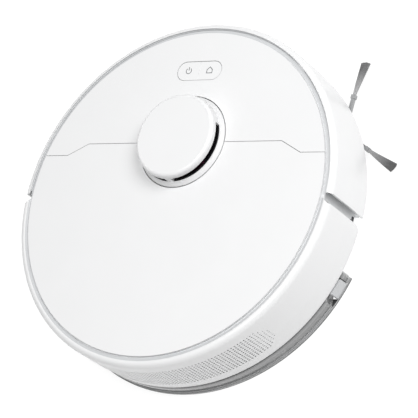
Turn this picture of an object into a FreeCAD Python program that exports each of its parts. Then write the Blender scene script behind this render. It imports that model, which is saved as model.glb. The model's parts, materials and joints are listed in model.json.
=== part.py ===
"""Robot vacuum with a laser turret, a hinged lid, a sprung bumper, a side brush and a mop module.

Units are millimetres.  The origin is on the floor under the middle of the round body; +Z is up and
+Y points to the front, where the bumper is.
"""
import FreeCAD, Part
import math
import os
import re

import Sketcher

doc = FreeCAD.newDocument("robot_vacuum")
sheet = doc.addObject("Spreadsheet::Sheet", "Dimensions")

# Driving dimensions, shared by more than one piece.
DIMENSIONS = {
    # outer shell
    "body_radius": 175,
    "foot_radius": 173.8,
    "wall": 2.2,
    "rim_round": 5.5,
    "lip_top": 79.3,
    "lip_under": 77.5,
    "lip_inner": 170,
    "widest_height": 40,
    "shell_bottom": 17,
    "shell_end_y": -11.5,
    "bumper_bottom": 15.5,
    "bumper_end_y": -1.5,
    "spring_z": 62,
    # chassis
    "chassis_radius": 166.6,
    "floor_bottom": 11,
    "floor_top": 13.5,
    "rear_floor_bottom": 18,
    "rear_floor_top": 20.5,
    "step_y": -50,
    # inner deck
    "deck_under": 69,
    "deck_top": 71,
    "ledge_under": 75.2,
    "ledge_top": 77.2,
    "ledge_outer": 167.5,
    "ledge_inner": 157,
    # top cover and lid
    "cover_radius": 164.2,
    "cover_under": 77.5,
    "cover_top": 80,
    "seam_y": 49.9,
    "seam_side_y": 38,
    "seam_inner_x": 110.7,
    "seam_outer_x": 133.5,
    "seam_gap": 0.6,
    "hinge_y": 60.5,
    "hinge_z": 76.5,
    "hinge_arm_width": 8,
    "hinge_pin_radius": 1.2,
    # turret
    "turret_y": 50.5,
    "notch_radius": 47.4,
    "turret_foot_radius": 46.4,
    "turret_wall_radius": 42.7,
    "turret_flat_radius": 39.6,
    "turret_top": 97,
    "window_bottom": 84,
    "window_top": 90.6,
    "rotor_radius": 36,
    "rotor_bottom": 71.8,
    "pulley_radius": 30,
    "motor_pulley_radius": 5,
    "pulley_bottom": 65.5,
    "pulley_top": 68.7,
    "belt_motor_y": 104.5,
    "spindle_radius": 4,
    # buttons
    "button_y": 124.5,
    "button_length": 50,
    "button_width": 19,
    "button_gap": 0.6,
    "button_top": 79.7,
    "button_flange_top": 76.9,
    # wheels
    "wheel_x": 118,
    "wheel_radius": 33,
    "tyre_width": 17,
    "tyre_inner": 27,
    "axle_radius": 3,
    "pivot_y": 42,
    "pivot_radius": 2,
    # caster
    "caster_y": 132,
    "caster_trail": 5,
    "caster_wheel_radius": 13,
    "caster_well_radius": 19,
    "caster_stem_radius": 3,
    "caster_axle_radius": 1.5,
    # main brush
    "brush_y": 13,
    "brush_z": 21.4,
    "brush_radius": 20.4,
    "brush_left": -75,
    "brush_right": 79,
    "brush_stub_radius": 3,
    "brush_drive_radius": 4,
    # side brush
    "side_brush_x": 129,
    "side_brush_y": 91,
    # dust box and its bay
    "bay_half_x": 79,
    "bay_front_y": -22.5,
    "bay_rear_y": -97.5,
    "bay_floor": 25.5,
    "bay_wall": 1.6,
    "inlet_half_x": 35,
    "inlet_bottom": 30,
    "inlet_top": 43.5,
    "box_half_x": 77.5,
    "box_front_y": -24,
    "box_rear_y": -92,
    "box_bottom": 26.5,
    "box_top": 74,
    "box_wall": 1.8,
    # fan
    "fan_y": -132,
    "fan_shaft_radius": 2,
    # mop module
    "tank_radius": 174,
    "tank_front_y": -51.5,
    "tank_bottom": 1.5,
    "tank_top": 16.6,
    "tank_wall": 1.7,
    "pad_recess_top": 6,
    "latch_y": -68.8,
    "latch_length": 14.5,
    "latch_inner_x": 155,
    "finger_room": 7.4,
    # clearances
    "run": 0.05,
    "far": 400,
}

cells = {}


def add_cell(alias, value):
    row = len(cells) + 1
    sheet.set(f"A{row}", alias.replace("_", " "))
    sheet.set(f"B{row}", str(value))
    sheet.setAlias(f"B{row}", alias)
    cells[alias] = value


for dimension, number in DIMENSIONS.items():
    add_cell(dimension, number)
doc.recompute()


def bound(expression):
    """The expression with the sheet's name before each dimension."""

    def named(match):
        word = match.group(0)
        return "Dimensions." + word if word in cells else word

    return re.sub(r"[a-z][a-z_0-9]*", named, str(expression))


def cell_for(owner, name, value):
    """An expression for a size: a plain number gets a cell of its own, named after its owner."""
    if isinstance(value, str):
        return bound(value)
    alias = f"{owner}_{name}"
    add_cell(alias, value)
    return "Dimensions." + alias


def measure(value):
    """The present value of a size."""
    if not isinstance(value, str):
        return float(value)
    sheet.recompute()
    return float(sheet.evalExpression(bound(value)))


def place(obj, position):
    for axis, value in zip("xyz", position):
        obj.setExpression("Placement.Base." + axis, cell_for(obj.Name, axis, value))


# ---------------------------------------------------------------- solids

ROUND_X = FreeCAD.Rotation(FreeCAD.Vector(0, 1, 0), 90)
ROUND_Y = FreeCAD.Rotation(FreeCAD.Vector(1, 0, 0), -90)


def box(name, size, corner):
    obj = doc.addObject("Part::Box", name)
    for side, axis, value in zip(("Length", "Width", "Height"), "xyz", size):
        obj.setExpression(side, cell_for(name, "size_" + axis, value))
    place(obj, corner)
    return obj


def slab(name, x, y, z):
    """A box between two planes along each axis; each pair may be numbers or expressions."""
    size = [f"({high}) - ({low})" for low, high in (x, y, z)]
    return box(name, size, [pair[0] for pair in (x, y, z)])


def cylinder(name, radius, length, start, axis="z"):
    """A round bar from its start point along +X, +Y or +Z."""
    obj = doc.addObject("Part::Cylinder", name)
    obj.setExpression("Radius", cell_for(name, "radius", radius))
    obj.setExpression("Height", cell_for(name, "length", length))
    if axis == "x":
        obj.Placement.Rotation = ROUND_X
    if axis == "y":
        obj.Placement.Rotation = ROUND_Y
    place(obj, start)
    return obj


def disc(name, radius, bottom, top, centre=(0, 0)):
    return cylinder(name, radius, f"({top}) - ({bottom})", (centre[0], centre[1], bottom))


def tube(name, outer, inner, bottom, top, centre=(0, 0)):
    return cut(
        name,
        disc(name + "_outside", outer, bottom, top, centre),
        disc(name + "_inside", inner, f"({bottom}) - 1", f"({top}) + 1", centre),
    )


def fuse(name, *shapes):
    obj = doc.addObject("Part::MultiFuse", name)
    obj.Shapes = list(shapes)
    return obj


def group(name, *shapes):
    """Separate solids that make up one node."""
    obj = doc.addObject("Part::Compound", name)
    obj.Links = list(shapes)
    return obj


def cut(name, base, *tools):
    obj = doc.addObject("Part::Cut", name)
    obj.Base = base
    obj.Tool = tools[0] if len(tools) == 1 else fuse(name + "_tools", *tools)
    return obj


def common(name, *shapes):
    obj = doc.addObject("Part::MultiCommon", name)
    obj.Shapes = list(shapes)
    return obj


def mirrored(name, source):
    """The source reflected to the other side of the plane X = 0."""
    obj = doc.addObject("Part::Mirroring", name)
    obj.Source = source
    obj.Normal = FreeCAD.Vector(1, 0, 0)
    return obj


def turned(name, source, angle, centre=(0, 0)):
    """A copy of the source, turned about a vertical line."""
    obj = doc.addObject("Part::Compound", name)
    obj.Links = [source]
    middle = FreeCAD.Vector(measure(centre[0]), measure(centre[1]), 0)
    obj.Placement = FreeCAD.Placement(FreeCAD.Vector(), FreeCAD.Rotation(angle, 0, 0), middle)
    return obj


# ---------------------------------------------------------------- sketches

def sketch_on(body, plane):
    sketch = body.newObject("Sketcher::SketchObject", body.Name + "_sketch")
    origin_plane = [f for f in body.Origin.OriginFeatures if f.Role == plane][0]
    sketch.AttachmentSupport = [(origin_plane, "")]
    sketch.MapMode = "FlatFace"
    return sketch


def arc_between(start, end, radius, side):
    """The shorter arc from start to end; side is 1 when its centre lies to the left, else -1."""
    middle = (start + end) / 2
    half = (end - start) / 2
    rise = math.sqrt(radius**2 - half.Length**2)
    left = FreeCAD.Vector(-half.y, half.x, 0).normalize()
    centre = middle + left * (side * rise)
    ends = (start, end) if side > 0 else (end, start)
    angles = [math.atan2(p.y - centre.y, p.x - centre.x) for p in ends]
    circle = Part.Circle(centre, FreeCAD.Vector(0, 0, 1), radius)
    return Part.ArcOfCircle(circle, angles[0], angles[1])


def draw_outline(sketch, points):
    """A closed outline.  A point is (u, v), or (u, v, radius, side) when an arc leads to it."""
    name = sketch.Name
    corners = [FreeCAD.Vector(measure(p[0]), measure(p[1]), 0) for p in points]
    ends = []
    for i, point in enumerate(points):
        start = corners[i - 1]
        end = corners[i]
        if len(point) == 2:
            edge = sketch.addGeometry(Part.LineSegment(start, end))
            ends.append((edge, 1, 2))
            continue
        radius, side = measure(point[2]), point[3]
        edge = sketch.addGeometry(arc_between(start, end, radius, side))
        ends.append((edge, 1, 2) if side > 0 else (edge, 2, 1))
        number = sketch.addConstraint(Sketcher.Constraint("Radius", edge, radius))
        size = cell_for(name, f"arc_{i}", point[2])
        sketch.setExpression(f"Constraints[{number}]", size)
    for i, (edge, first, last) in enumerate(ends):
        following, start, _ = ends[(i + 1) % len(ends)]
        sketch.addConstraint(Sketcher.Constraint("Coincident", edge, last, following, start))
        for kind, value, key in (("DistanceX", points[i][0], "u"), ("DistanceY", points[i][1], "v")):
            rule = Sketcher.Constraint(kind, -1, 1, edge, last, measure(value))
            number = sketch.addConstraint(rule)
            sketch.setExpression(f"Constraints[{number}]", cell_for(name, f"{key}_{i}", value))


def lathe(name, profile, centre=(0, 0)):
    """A solid of revolution about a vertical line; the profile's points are (radius, height)."""
    body = doc.addObject("PartDesign::Body", name)
    sketch = sketch_on(body, "XZ_Plane")
    draw_outline(sketch, profile)
    turn = body.newObject("PartDesign::Revolution", name + "_turn")
    turn.Profile = sketch
    turn.ReferenceAxis = (sketch, ["V_Axis"])
    turn.Angle = 360
    place(body, (centre[0], centre[1], 0))
    return body


def prism(name, outline, bottom, top):
    """An outline in plan, padded from one height to another."""
    body = doc.addObject("PartDesign::Body", name)
    sketch = sketch_on(body, "XY_Plane")
    draw_outline(sketch, outline)
    sketch.setExpression("AttachmentOffset.Base.z", cell_for(name, "bottom", bottom))
    pad = body.newObject("PartDesign::Pad", name + "_pad")
    pad.Profile = sketch
    pad.setExpression("Length", cell_for(name, "height", f"({top}) - ({bottom})"))
    return body


def side_plate(name, outline, middle_x, width):
    """An outline in the side view, its points (y, z), padded to both sides of middle_x."""
    body = doc.addObject("PartDesign::Body", name)
    sketch = sketch_on(body, "YZ_Plane")
    draw_outline(sketch, outline)
    pad = body.newObject("PartDesign::Pad", name + "_pad")
    pad.Profile = sketch
    pad.Midplane = True
    pad.setExpression("Length", cell_for(name, "width", width))
    place(body, (middle_x, 0, 0))
    return body


def stadium(name, length, width, bottom, top, y):
    """A pill shape in plan, its long axis along X, centred on X = 0."""
    straight = f"(({length}) - ({width})) / 2"
    radius = f"({width}) / 2"
    outline = [
        (f"-{straight}", f"({y}) - {radius}"),
        (straight, f"({y}) - {radius}"),
        (f"{straight} + {radius}", y, radius, 1),
        (straight, f"({y}) + {radius}", radius, 1),
        (f"-{straight}", f"({y}) + {radius}"),
        (f"-{straight} - {radius}", y, radius, 1),
        (f"-{straight}", f"({y}) - {radius}", radius, 1),
    ]
    return prism(name, outline[1:], bottom, top)


def everything(name, x=("-far", "far"), y=("-far", "far"), z=("-far", "far")):
    """A block that reaches past the whole machine on every side not given."""
    return slab(name, x, y, z)


nodes = []


def node(label, obj):
    """Names a finished piece."""
    obj.Label = label
    nodes.append(obj)
    return obj


POST_PLACES = {
    "front": [(96.4, 114.9), (-96.4, 114.9), (141, 51.3), (-141, 51.3)],
    "rear": [(130, -75), (-130, -75), (75, -130), (-75, -130)],
}
SIDES = {"right": 1, "left": -1}
HINGE_X = 66


# ---------------------------------------------------------------- outer shell

def make_chassis():
    """Round tray: floor, side wall, raised floor over the mop module, posts and caster well."""
    tray = lathe("tray", [
        (0, "floor_bottom"),
        ("chassis_radius", "floor_bottom"),
        ("chassis_radius", "ledge_under"),
        ("chassis_radius - wall", "ledge_under"),
        ("chassis_radius - wall", "floor_top"),
        (0, "floor_top"),
    ])
    open_rear = cut(
        "tray_open_rear",
        tray,
        everything("mop_space", y=("-far", "step_y"), z=("-far", "rear_floor_bottom")),
    )
    inside = disc("inside_of_wall", "chassis_radius - 1", "floor_bottom", "rear_floor_top")
    raised = common(
        "raised_floor", inside,
        fuse(
            "raised_floor_blocks",
            everything("raised_block", y=("-far", "step_y + 2"),
                       z=("rear_floor_bottom", "rear_floor_top")),
            everything("step_block", y=("step_y", "step_y + 2"),
                       z=("floor_bottom", "rear_floor_top")),
        ),
    )
    posts = []
    for end, bottom in (("front", "floor_bottom + 1"), ("rear", "rear_floor_bottom + 1")):
        for i, (x, y) in enumerate(POST_PLACES[end]):
            posts.append(disc(f"post_{end}_{i}", 4.5, bottom, "deck_under", (x, y)))
    well = tube("caster_well", "caster_well_radius + 1.8", "caster_well_radius",
                "floor_bottom + 1", 38, (0, "caster_y"))
    well_top = disc("caster_well_top", "caster_well_radius + 1.8", 36, 38, (0, "caster_y"))
    socket = disc("caster_socket", 8, 36, 47, (0, "caster_y"))
    sockets = [
        cylinder(f"spring_socket_{side}", 6.6, 12, (24 * sign, 153.2, "spring_z"), "y")
        for side, sign in SIDES.items()
    ]
    gap_span = everything("bumper_gap_span", y=("shell_end_y - 2.5", "bumper_end_y + 2.5"))
    thick_wall = common(
        "thick_wall", tube("thick_wall_ring", "chassis_radius - 0.5", 157, "floor_bottom + 1", 24), gap_span)
    solid = fuse("chassis_solid", open_rear, raised, thick_wall, well, well_top, socket, *posts, *sockets)

    corner_cut = lathe("corner_cut", [
        (160, "floor_bottom - 0.1"), (170, "floor_bottom - 0.1"), (170, "floor_bottom + 12.9")])
    holes = [
        common("gap_corner", corner_cut, gap_span),
        disc("caster_mouth", "caster_well_radius", 0, 36, (0, "caster_y")),
        disc("caster_bore", "caster_stem_radius + run", 30, 50, (0, "caster_y")),
        disc("side_brush_hole", 6.6, 0, 30, ("side_brush_x", "side_brush_y")),
        slab("brush_slot", (-77, 84), (-11.5, 37.5), (0, 30)),
        common(
            "exhaust_window",
            tube("window_ring", "body_radius", "chassis_radius - wall - 3", 28, 65),
            everything("window_block", x=(-112, 112), y=("-far", -100)),
        ),
    ]
    for side, sign in SIDES.items():
        low, high = sorted((89.0 * sign, 129.0 * sign))
        holes.append(slab(f"wheel_slot_{side}", (low, high), (-38.5, 52.5), (0, 30)))
        low, high = sorted((52.0 * sign, 68.0 * sign))
        holes.append(slab(f"pusher_slot_{side}", (low, high), (146, 180), (39.5, 50.5)))
        holes.append(cylinder(f"spring_bore_{side}", 5.2, 20, (24 * sign, 154.8, "spring_z"), "y"))
    return node("chassis", cut("chassis", solid, *holes))


def make_rear_shell():
    """Rear half of the side wall, with a rounded rim, a foot flange and exhaust slots."""
    ring = lathe("rear_ring", [
        ("chassis_radius", "shell_bottom"),
        ("foot_radius", "shell_bottom"),
        ("body_radius", "widest_height"),
        ("body_radius", "lip_top - rim_round"),
        ("body_radius - rim_round", "lip_top", "rim_round", 1),
        (165.2, "lip_top - 1.1"),
        (165.2, "ledge_top"),
        ("body_radius - wall - 0.9", "ledge_top"),
        ("body_radius - wall", "ledge_top - 0.7"),
        ("body_radius - wall", "shell_bottom + wall"),
        ("chassis_radius", "shell_bottom + wall"),
    ])
    slot_count = 37
    slot_pitch = 2.4
    slot = slab("exhaust_slot", (-1.6, 1.6), (-180, -168.5), (29.5, 63.5))
    slots = [
        turned(f"exhaust_slot_{i}", slot, (i - (slot_count - 1) / 2) * slot_pitch)
        for i in range(slot_count)
    ]
    tongue = prism("rim_tongue_right", [
        (163, "shell_end_y - 1"), (173, "shell_end_y - 1"), (173, "shell_end_y"),
        (166, "shell_end_y + 8"), (163, "shell_end_y + 8"),
    ], "lip_top - rim_round", "lip_top + 1")
    front = cut(
        "front_of_shell",
        everything("front_of_shell_block", y=("shell_end_y", "far")),
        tongue, mirrored("rim_tongue_left", tongue),
    )
    return node("rear_shell", cut("rear_shell", ring, front, *slots))


def make_bumper():
    """Front half of the side wall: it slides back, and its lip runs over the ledge."""
    ring = lathe("bumper_ring", [
        ("foot_radius - wall + 0.3", "bumper_bottom"),
        ("foot_radius", "bumper_bottom"),
        ("body_radius", "widest_height"),
        ("body_radius", "lip_top - rim_round"),
        ("body_radius - rim_round", "lip_top", "rim_round", 1),
        ("lip_inner", "lip_top"),
        ("lip_inner", "lip_under"),
        ("body_radius - wall - 0.9", "lip_under"),
        ("body_radius - wall", "lip_under - 0.9"),
        ("body_radius - wall", "widest_height"),
    ])
    front_ring = cut("bumper_front_ring", ring, everything("rear_of_bumper", y=("-far", "bumper_end_y")))
    pushers = []
    for side, sign in SIDES.items():
        low, high = sorted((54.0 * sign, 66.0 * sign))
        pushers.append(common(
            f"pusher_{side}",
            slab(f"pusher_bar_{side}", (low, high), (149, 170), (41.5, 48.5)),
            disc(f"pusher_limit_{side}", "body_radius - 1", 40, 50),
        ))
    solid = fuse("bumper_solid", front_ring, *pushers)
    window = slab("dock_window_hole", (-30, 30), (150, 180), (42, 54))
    return node("bumper", cut("bumper", solid, window))


def make_dock_sensor_window():
    ring = tube("dock_window_ring", "body_radius", "body_radius - wall + 0.1", 42.1, 53.9)
    block = slab("dock_window_block", (-29.9, 29.9), (150, 180), (42, 54))
    return node("dock_sensor_window", common("dock_sensor_window", ring, block))


def coil_spring(name, radius, wire, pitch, turns, start):
    """A compression spring whose axis runs along +Y."""
    helix = doc.addObject("Part::Helix", name + "_helix")
    helix.setExpression("Radius", cell_for(name, "coil_radius", radius))
    helix.setExpression("Pitch", cell_for(name, "pitch", pitch))
    helix.setExpression("Height", cell_for(name, "height", pitch * turns))
    circle = doc.addObject("Part::Circle", name + "_wire")
    circle.setExpression("Radius", cell_for(name, "wire_radius", wire))
    circle.Placement = FreeCAD.Placement(
        FreeCAD.Vector(radius, 0, 0), FreeCAD.Rotation(FreeCAD.Vector(1, 0, 0), 90))
    sweep = doc.addObject("Part::Sweep", name)
    sweep.Sections = [circle]
    sweep.Spine = (helix, ["Edge1"])
    sweep.Solid = True
    sweep.Frenet = True
    sweep.Placement.Rotation = ROUND_Y
    place(sweep, start)
    return sweep


def make_bumper_springs():
    right = coil_spring("bumper_spring_right", 4, 0.4, 2.4, 6, (24, 155.3, "spring_z"))
    left = coil_spring("bumper_spring_left", 4, 0.4, 2.4, 6, (-24, 155.3, "spring_z"))
    return node("bumper_springs", group("bumper_springs", right, left))


def make_bumper_switches():
    switches = []
    for side, sign in SIDES.items():
        low, high = sorted((53.0 * sign, 67.0 * sign))
        block = slab(f"switch_{side}", (low, high), (132, 142.5), (13.5, 50))
        stem = cylinder(f"switch_stem_{side}", 1.5, 2, (60 * sign, 142, 45), "y")
        switches.append(fuse(f"bumper_switch_{side}", block, stem))
    return node("bumper_switches", group("bumper_switches", *switches))


# ---------------------------------------------------------------- deck, covers and lid

def make_inner_deck():
    """Deck under the lid, with the ledge round it, the dust-box bay and the hinge brackets."""
    rim = lathe("deck_rim", [
        (0, "deck_under"),
        ("ledge_inner + 2", "deck_under"),
        ("ledge_inner + 2", "ledge_under"),
        ("ledge_outer", "ledge_under"),
        ("ledge_outer", "ledge_top"),
        ("ledge_inner", "ledge_top"),
        ("ledge_inner", "deck_top"),
        (0, "deck_top"),
    ])
    bay = slab("bay_block", ("-bay_half_x - bay_wall", "bay_half_x + bay_wall"),
               ("bay_rear_y - bay_wall", "bay_front_y + bay_wall"),
               ("bay_floor - bay_wall", "deck_top"))
    brackets = []
    arm_slots = []
    pin_bores = []
    for side, sign in SIDES.items():
        for part, offset in (("inner", -6.25), ("outer", 6.25)):
            low = HINGE_X * sign + offset - 1.75
            brackets.append(slab(f"bracket_{side}_{part}", (low, low + 3.5),
                                 ("hinge_y - 2.5", "hinge_y + 2.5"), ("deck_top - 1", "hinge_z + 2.1")))
        arm_slots.append(slab(f"arm_slot_{side}", (HINGE_X * sign - 5.5, HINGE_X * sign + 5.5),
                              ("hinge_y - 22.2", "hinge_y + 4.5"), (60, "deck_top + 1")))
        pin_bores.append(cylinder(f"pin_bore_{side}", "hinge_pin_radius", 20,
                                  (HINGE_X * sign - 10, "hinge_y", "hinge_z"), "x"))
    solid = fuse("deck_solid", rim, bay)
    slotted = cut("deck_slotted", solid, *arm_slots)
    with_brackets = fuse("deck_with_brackets", slotted, *brackets)
    holes = [
        slab("bay_inside", ("-bay_half_x", "bay_half_x"), ("bay_rear_y", "bay_front_y"),
             ("bay_floor", "cover_top")),
        slab("bay_inlet", ("-inlet_half_x", "inlet_half_x"), (-30, -18), ("inlet_bottom", "inlet_top")),
        slab("bay_outlet", (-50, 50), (-105, -90), (35, 62)),
        disc("turret_opening", 41, 60, "cover_top", (0, "turret_y")),
    ]
    return node("inner_deck", cut("inner_deck", with_brackets, *holes, *pin_bores))


def seam_outline(offset, edge_y):
    """One half of the top cover in plan: up to the stepped seam, moved along Y by offset."""
    return [
        ("-far", edge_y),
        ("far", edge_y),
        ("far", f"seam_side_y + ({offset})"),
        ("seam_outer_x", f"seam_side_y + ({offset})"),
        ("seam_inner_x", f"seam_y + ({offset})"),
        ("-seam_inner_x", f"seam_y + ({offset})"),
        ("-seam_outer_x", f"seam_side_y + ({offset})"),
        ("-far", f"seam_side_y + ({offset})"),
    ]


def make_front_cover():
    """Fixed front half of the top, with the button recess and hinge pockets on its underside."""
    plate = common(
        "front_plate",
        disc("front_disc", "cover_radius", "ledge_top", "cover_top"),
        prism("front_outline", seam_outline("seam_gap / 2", "far"), "cover_under - 1", "cover_top + 1"),
    )
    holes = [
        disc("front_notch", "notch_radius", 70, 90, (0, "turret_y")),
        stadium("button_opening", "button_length + 2 * button_gap", "button_width + 2 * button_gap",
                70, 90, "button_y"),
    ]
    for side, sign in SIDES.items():
        holes.append(slab(f"hinge_pocket_{side}", (HINGE_X * sign - 8.6, HINGE_X * sign + 8.6),
                          ("hinge_y - 6.2", "hinge_y + 2.8"), ("ledge_top - 1", "hinge_z + 2.4")))
    return node("front_cover", cut("front_cover", plate, *holes))


def make_dust_lid():
    """Rear half of the top: it swings up on two goosenecks that pass under the front cover."""
    plate = common(
        "lid_plate",
        disc("lid_disc", "cover_radius", "cover_under", "cover_top"),
        prism("lid_outline", seam_outline("-seam_gap / 2", "-far"), "cover_under - 1", "cover_top + 1"),
    )
    notched = cut("lid_notched", plate, disc("lid_notch", "notch_radius", 70, 90, (0, "turret_y")))
    gooseneck = [
        ("hinge_y - 17", "hinge_z - 14.2"),
        ("hinge_y + 2", "hinge_z - 14.2"),
        ("hinge_y + 2", "hinge_z"),
        ("hinge_y", "hinge_z + 2", 2, 1),
        ("hinge_y - 2", "hinge_z", 2, 1),
        ("hinge_y - 2", "hinge_z - 11.2"),
        ("hinge_y - 13.5", "hinge_z - 11.2"),
        ("hinge_y - 13.5", "cover_under + 1"),
        ("hinge_y - 17", "cover_under + 1"),
    ]
    arms = []
    bores = []
    for side, sign in SIDES.items():
        arms.append(side_plate(f"gooseneck_{side}", gooseneck, HINGE_X * sign, "hinge_arm_width"))
        bores.append(cylinder(f"lid_bore_{side}", "hinge_pin_radius + run", 20,
                              (HINGE_X * sign - 10, "hinge_y", "hinge_z"), "x"))
    solid = fuse("lid_solid", notched, *arms)
    return node("dust_lid", cut("dust_lid", solid, *bores))


def make_lid_hinge_pins():
    pins = [
        cylinder(f"hinge_pin_{side}", "hinge_pin_radius", 16,
                 (HINGE_X * sign - 8, "hinge_y", "hinge_z"), "x")
        for side, sign in SIDES.items()
    ]
    return node("lid_hinge_pins", group("lid_hinge_pins", *pins))


def make_button(label, sign):
    """One half of the pill-shaped pair: cap, flange below the cover, and stem over the switch."""
    cap = stadium(label + "_cap", "button_length", "button_width", "button_flange_top - 0.5",
                  "button_top", "button_y")
    flange = stadium(label + "_flange", "button_length + 4", "button_width + 4",
                     "button_flange_top - 0.8", "button_flange_top", "button_y")
    pill = fuse(label + "_pill", cap, flange)
    edges = ("button_gap / 2", "far") if sign > 0 else ("-far", "-button_gap / 2")
    half = common(label + "_half", pill, everything(label + "_side", x=edges))
    stem = disc(label + "_stem", 2.5, "button_flange_top - 1.2", "button_flange_top",
                (12 * sign, "button_y"))
    return node(label, fuse(label, half, stem))


def make_button_board():
    board = slab("board_plate", (-29, 29), (112, 137), ("deck_top", "deck_top + 1.6"))
    domes = [disc(f"dome_{side}", 3, "deck_top + 1", "button_flange_top - 2", (12 * sign, "button_y"))
             for side, sign in SIDES.items()]
    return node("button_board", fuse("button_board", board, *domes))


# ---------------------------------------------------------------- turret

def make_turret():
    centre = (0, "turret_y")
    base = lathe("turret_base", [
        (40.5, "deck_top"),
        (45.6, "deck_top"),
        ("turret_foot_radius", "cover_under"),
        ("turret_foot_radius", "cover_top + 0.4"),
        ("turret_wall_radius + 0.7", "window_bottom"),
        (40.5, "window_bottom"),
    ], centre)
    node("turret_base", base)

    top = lathe("cap_top", [
        (0, "turret_top - 2"),
        (39, "turret_top - 2.4"),
        (40.4, "window_top"),
        ("turret_wall_radius", "window_top"),
        ("turret_wall_radius", "turret_top - 3.4"),
        ("turret_flat_radius", "turret_top", 3.6, 1),
        (0, "turret_top"),
    ], centre)
    ring = tube("pillar_ring", "turret_wall_radius", 40.6, "window_bottom", "window_top + 0.5", centre)
    wedges = []
    for i, (start, end) in enumerate(((-94.5, -85.5), (21, 62), (118, 159))):
        corners = [(0, "turret_y")]
        for angle in (start, end):
            corners.append((70 * math.cos(math.radians(angle)),
                            f"turret_y + {70 * math.sin(math.radians(angle)):.4f}"))
        wedges.append(prism(f"pillar_wedge_{i}", corners, 80, 95))
    pillars = common("pillars", ring, fuse("pillar_wedges", *wedges))
    node("turret_cap", fuse("turret_cap", top, pillars))


def make_lidar():
    centre = (0, "turret_y")
    drum = lathe("rotor_drum", [
        ("spindle_radius + run", "pulley_bottom"),
        ("pulley_radius", "pulley_bottom"),
        ("pulley_radius", "pulley_top"),
        (32, "pulley_top + 0.3"),
        (32, "rotor_bottom"),
        ("rotor_radius", "rotor_bottom"),
        ("rotor_radius", 91),
        (0, 91),
        (0, 89.5),
        ("rotor_radius - 1.5", 89.5),
        ("rotor_radius - 1.5", "rotor_bottom + 1.5"),
        ("spindle_radius + 2.5", "rotor_bottom + 1.5"),
        ("spindle_radius + 2.5", "rotor_bottom + 4.5"),
        ("spindle_radius + run", "rotor_bottom + 4.5"),
    ], centre)
    facing = -62
    lens_holes = []
    lenses = []
    for name, radius, offset in (("receiver", 7, 10), ("emitter", 4, -11)):
        bore = cylinder(f"{name}_bore", radius, 14, (28, offset, 81), "x")
        glass = cylinder(f"{name}_lens", radius - 0.1, 5, (31, offset, 81), "x")
        lens_holes.append(bore)
        lenses.append(glass)
    aim = FreeCAD.Placement(FreeCAD.Vector(0, measure("turret_y"), 0), FreeCAD.Rotation(facing, 0, 0))
    bores = fuse("lens_bores", *lens_holes)
    bores.Placement = aim
    node("lidar_rotor", cut("lidar_rotor", drum, bores))
    lens_group = group("lidar_lenses", *lenses)
    lens_group.Placement = aim
    node("lidar_lenses", lens_group)

    posts = []
    for i, angle in enumerate((205, 335, 90)):
        across = 43.4 * math.cos(math.radians(angle))
        along = 43.4 * math.sin(math.radians(angle))
        posts.append(disc(f"lidar_post_{i}", 2.2, 63, "deck_under", (across, f"turret_y + {along:.4f}")))
    plate = fuse(
        "lidar_plate",
        disc("lidar_plate_disc", 46, 62.5, 64.5, centre),
        disc("lidar_plate_end", 14, 62.5, 64.5, (0, "belt_motor_y")),
        slab("lidar_plate_bridge", (-14, 14), ("turret_y", "belt_motor_y"), (62.5, 64.5)),
        disc("spindle", "spindle_radius", 63, "rotor_bottom + 2.6", centre),
        *posts,
    )
    shaft_hole = disc("shaft_hole", 2, 60, 66, (0, "belt_motor_y"))
    node("lidar_base", cut("lidar_base", plate, shaft_hole))

    can = disc("motor_can", 11, 44.5, 62.4, (0, "belt_motor_y"))
    motor_bore = disc("motor_bore", "1 + run", 50, 65, (0, "belt_motor_y"))
    node("lidar_motor", cut("lidar_motor", can, motor_bore))
    node("motor_pulley", fuse(
        "motor_pulley",
        disc("pulley_wheel", "motor_pulley_radius", "pulley_bottom", "pulley_top", (0, "belt_motor_y")),
        disc("pulley_shaft", 1, 52, "pulley_top", (0, "belt_motor_y")),
    ))


def belt_block(name, distance, bottom, top):
    """Everything inside a belt line that runs at a distance from both pulleys."""
    big = measure("pulley_radius") + distance
    small = measure("motor_pulley_radius") + distance
    span = measure("belt_motor_y") - measure("turret_y")
    lean = math.asin((big - small) / span)
    corners = [
        (f"{-big * math.cos(lean):.4f}", f"turret_y + {big * math.sin(lean):.4f}"),
        (f"{big * math.cos(lean):.4f}", f"turret_y + {big * math.sin(lean):.4f}"),
        (f"{small * math.cos(lean):.4f}", f"belt_motor_y + {small * math.sin(lean):.4f}"),
        (f"{-small * math.cos(lean):.4f}", f"belt_motor_y + {small * math.sin(lean):.4f}"),
    ]
    return fuse(
        name,
        disc(name + "_big", f"pulley_radius + {distance}", bottom, top, (0, "turret_y")),
        disc(name + "_small", f"motor_pulley_radius + {distance}", bottom, top, (0, "belt_motor_y")),
        prism(name + "_between", corners, bottom, top),
    )


def make_lidar_belt():
    gap = 0.3
    thickness = 0.9
    outside = belt_block("belt_outside", gap + thickness, "pulley_bottom + 0.4", "pulley_top - 0.4")
    inside = belt_block("belt_inside", gap, "pulley_bottom", "pulley_top")
    return node("lidar_belt", cut("lidar_belt", outside, inside))


# ---------------------------------------------------------------- suction path

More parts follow.
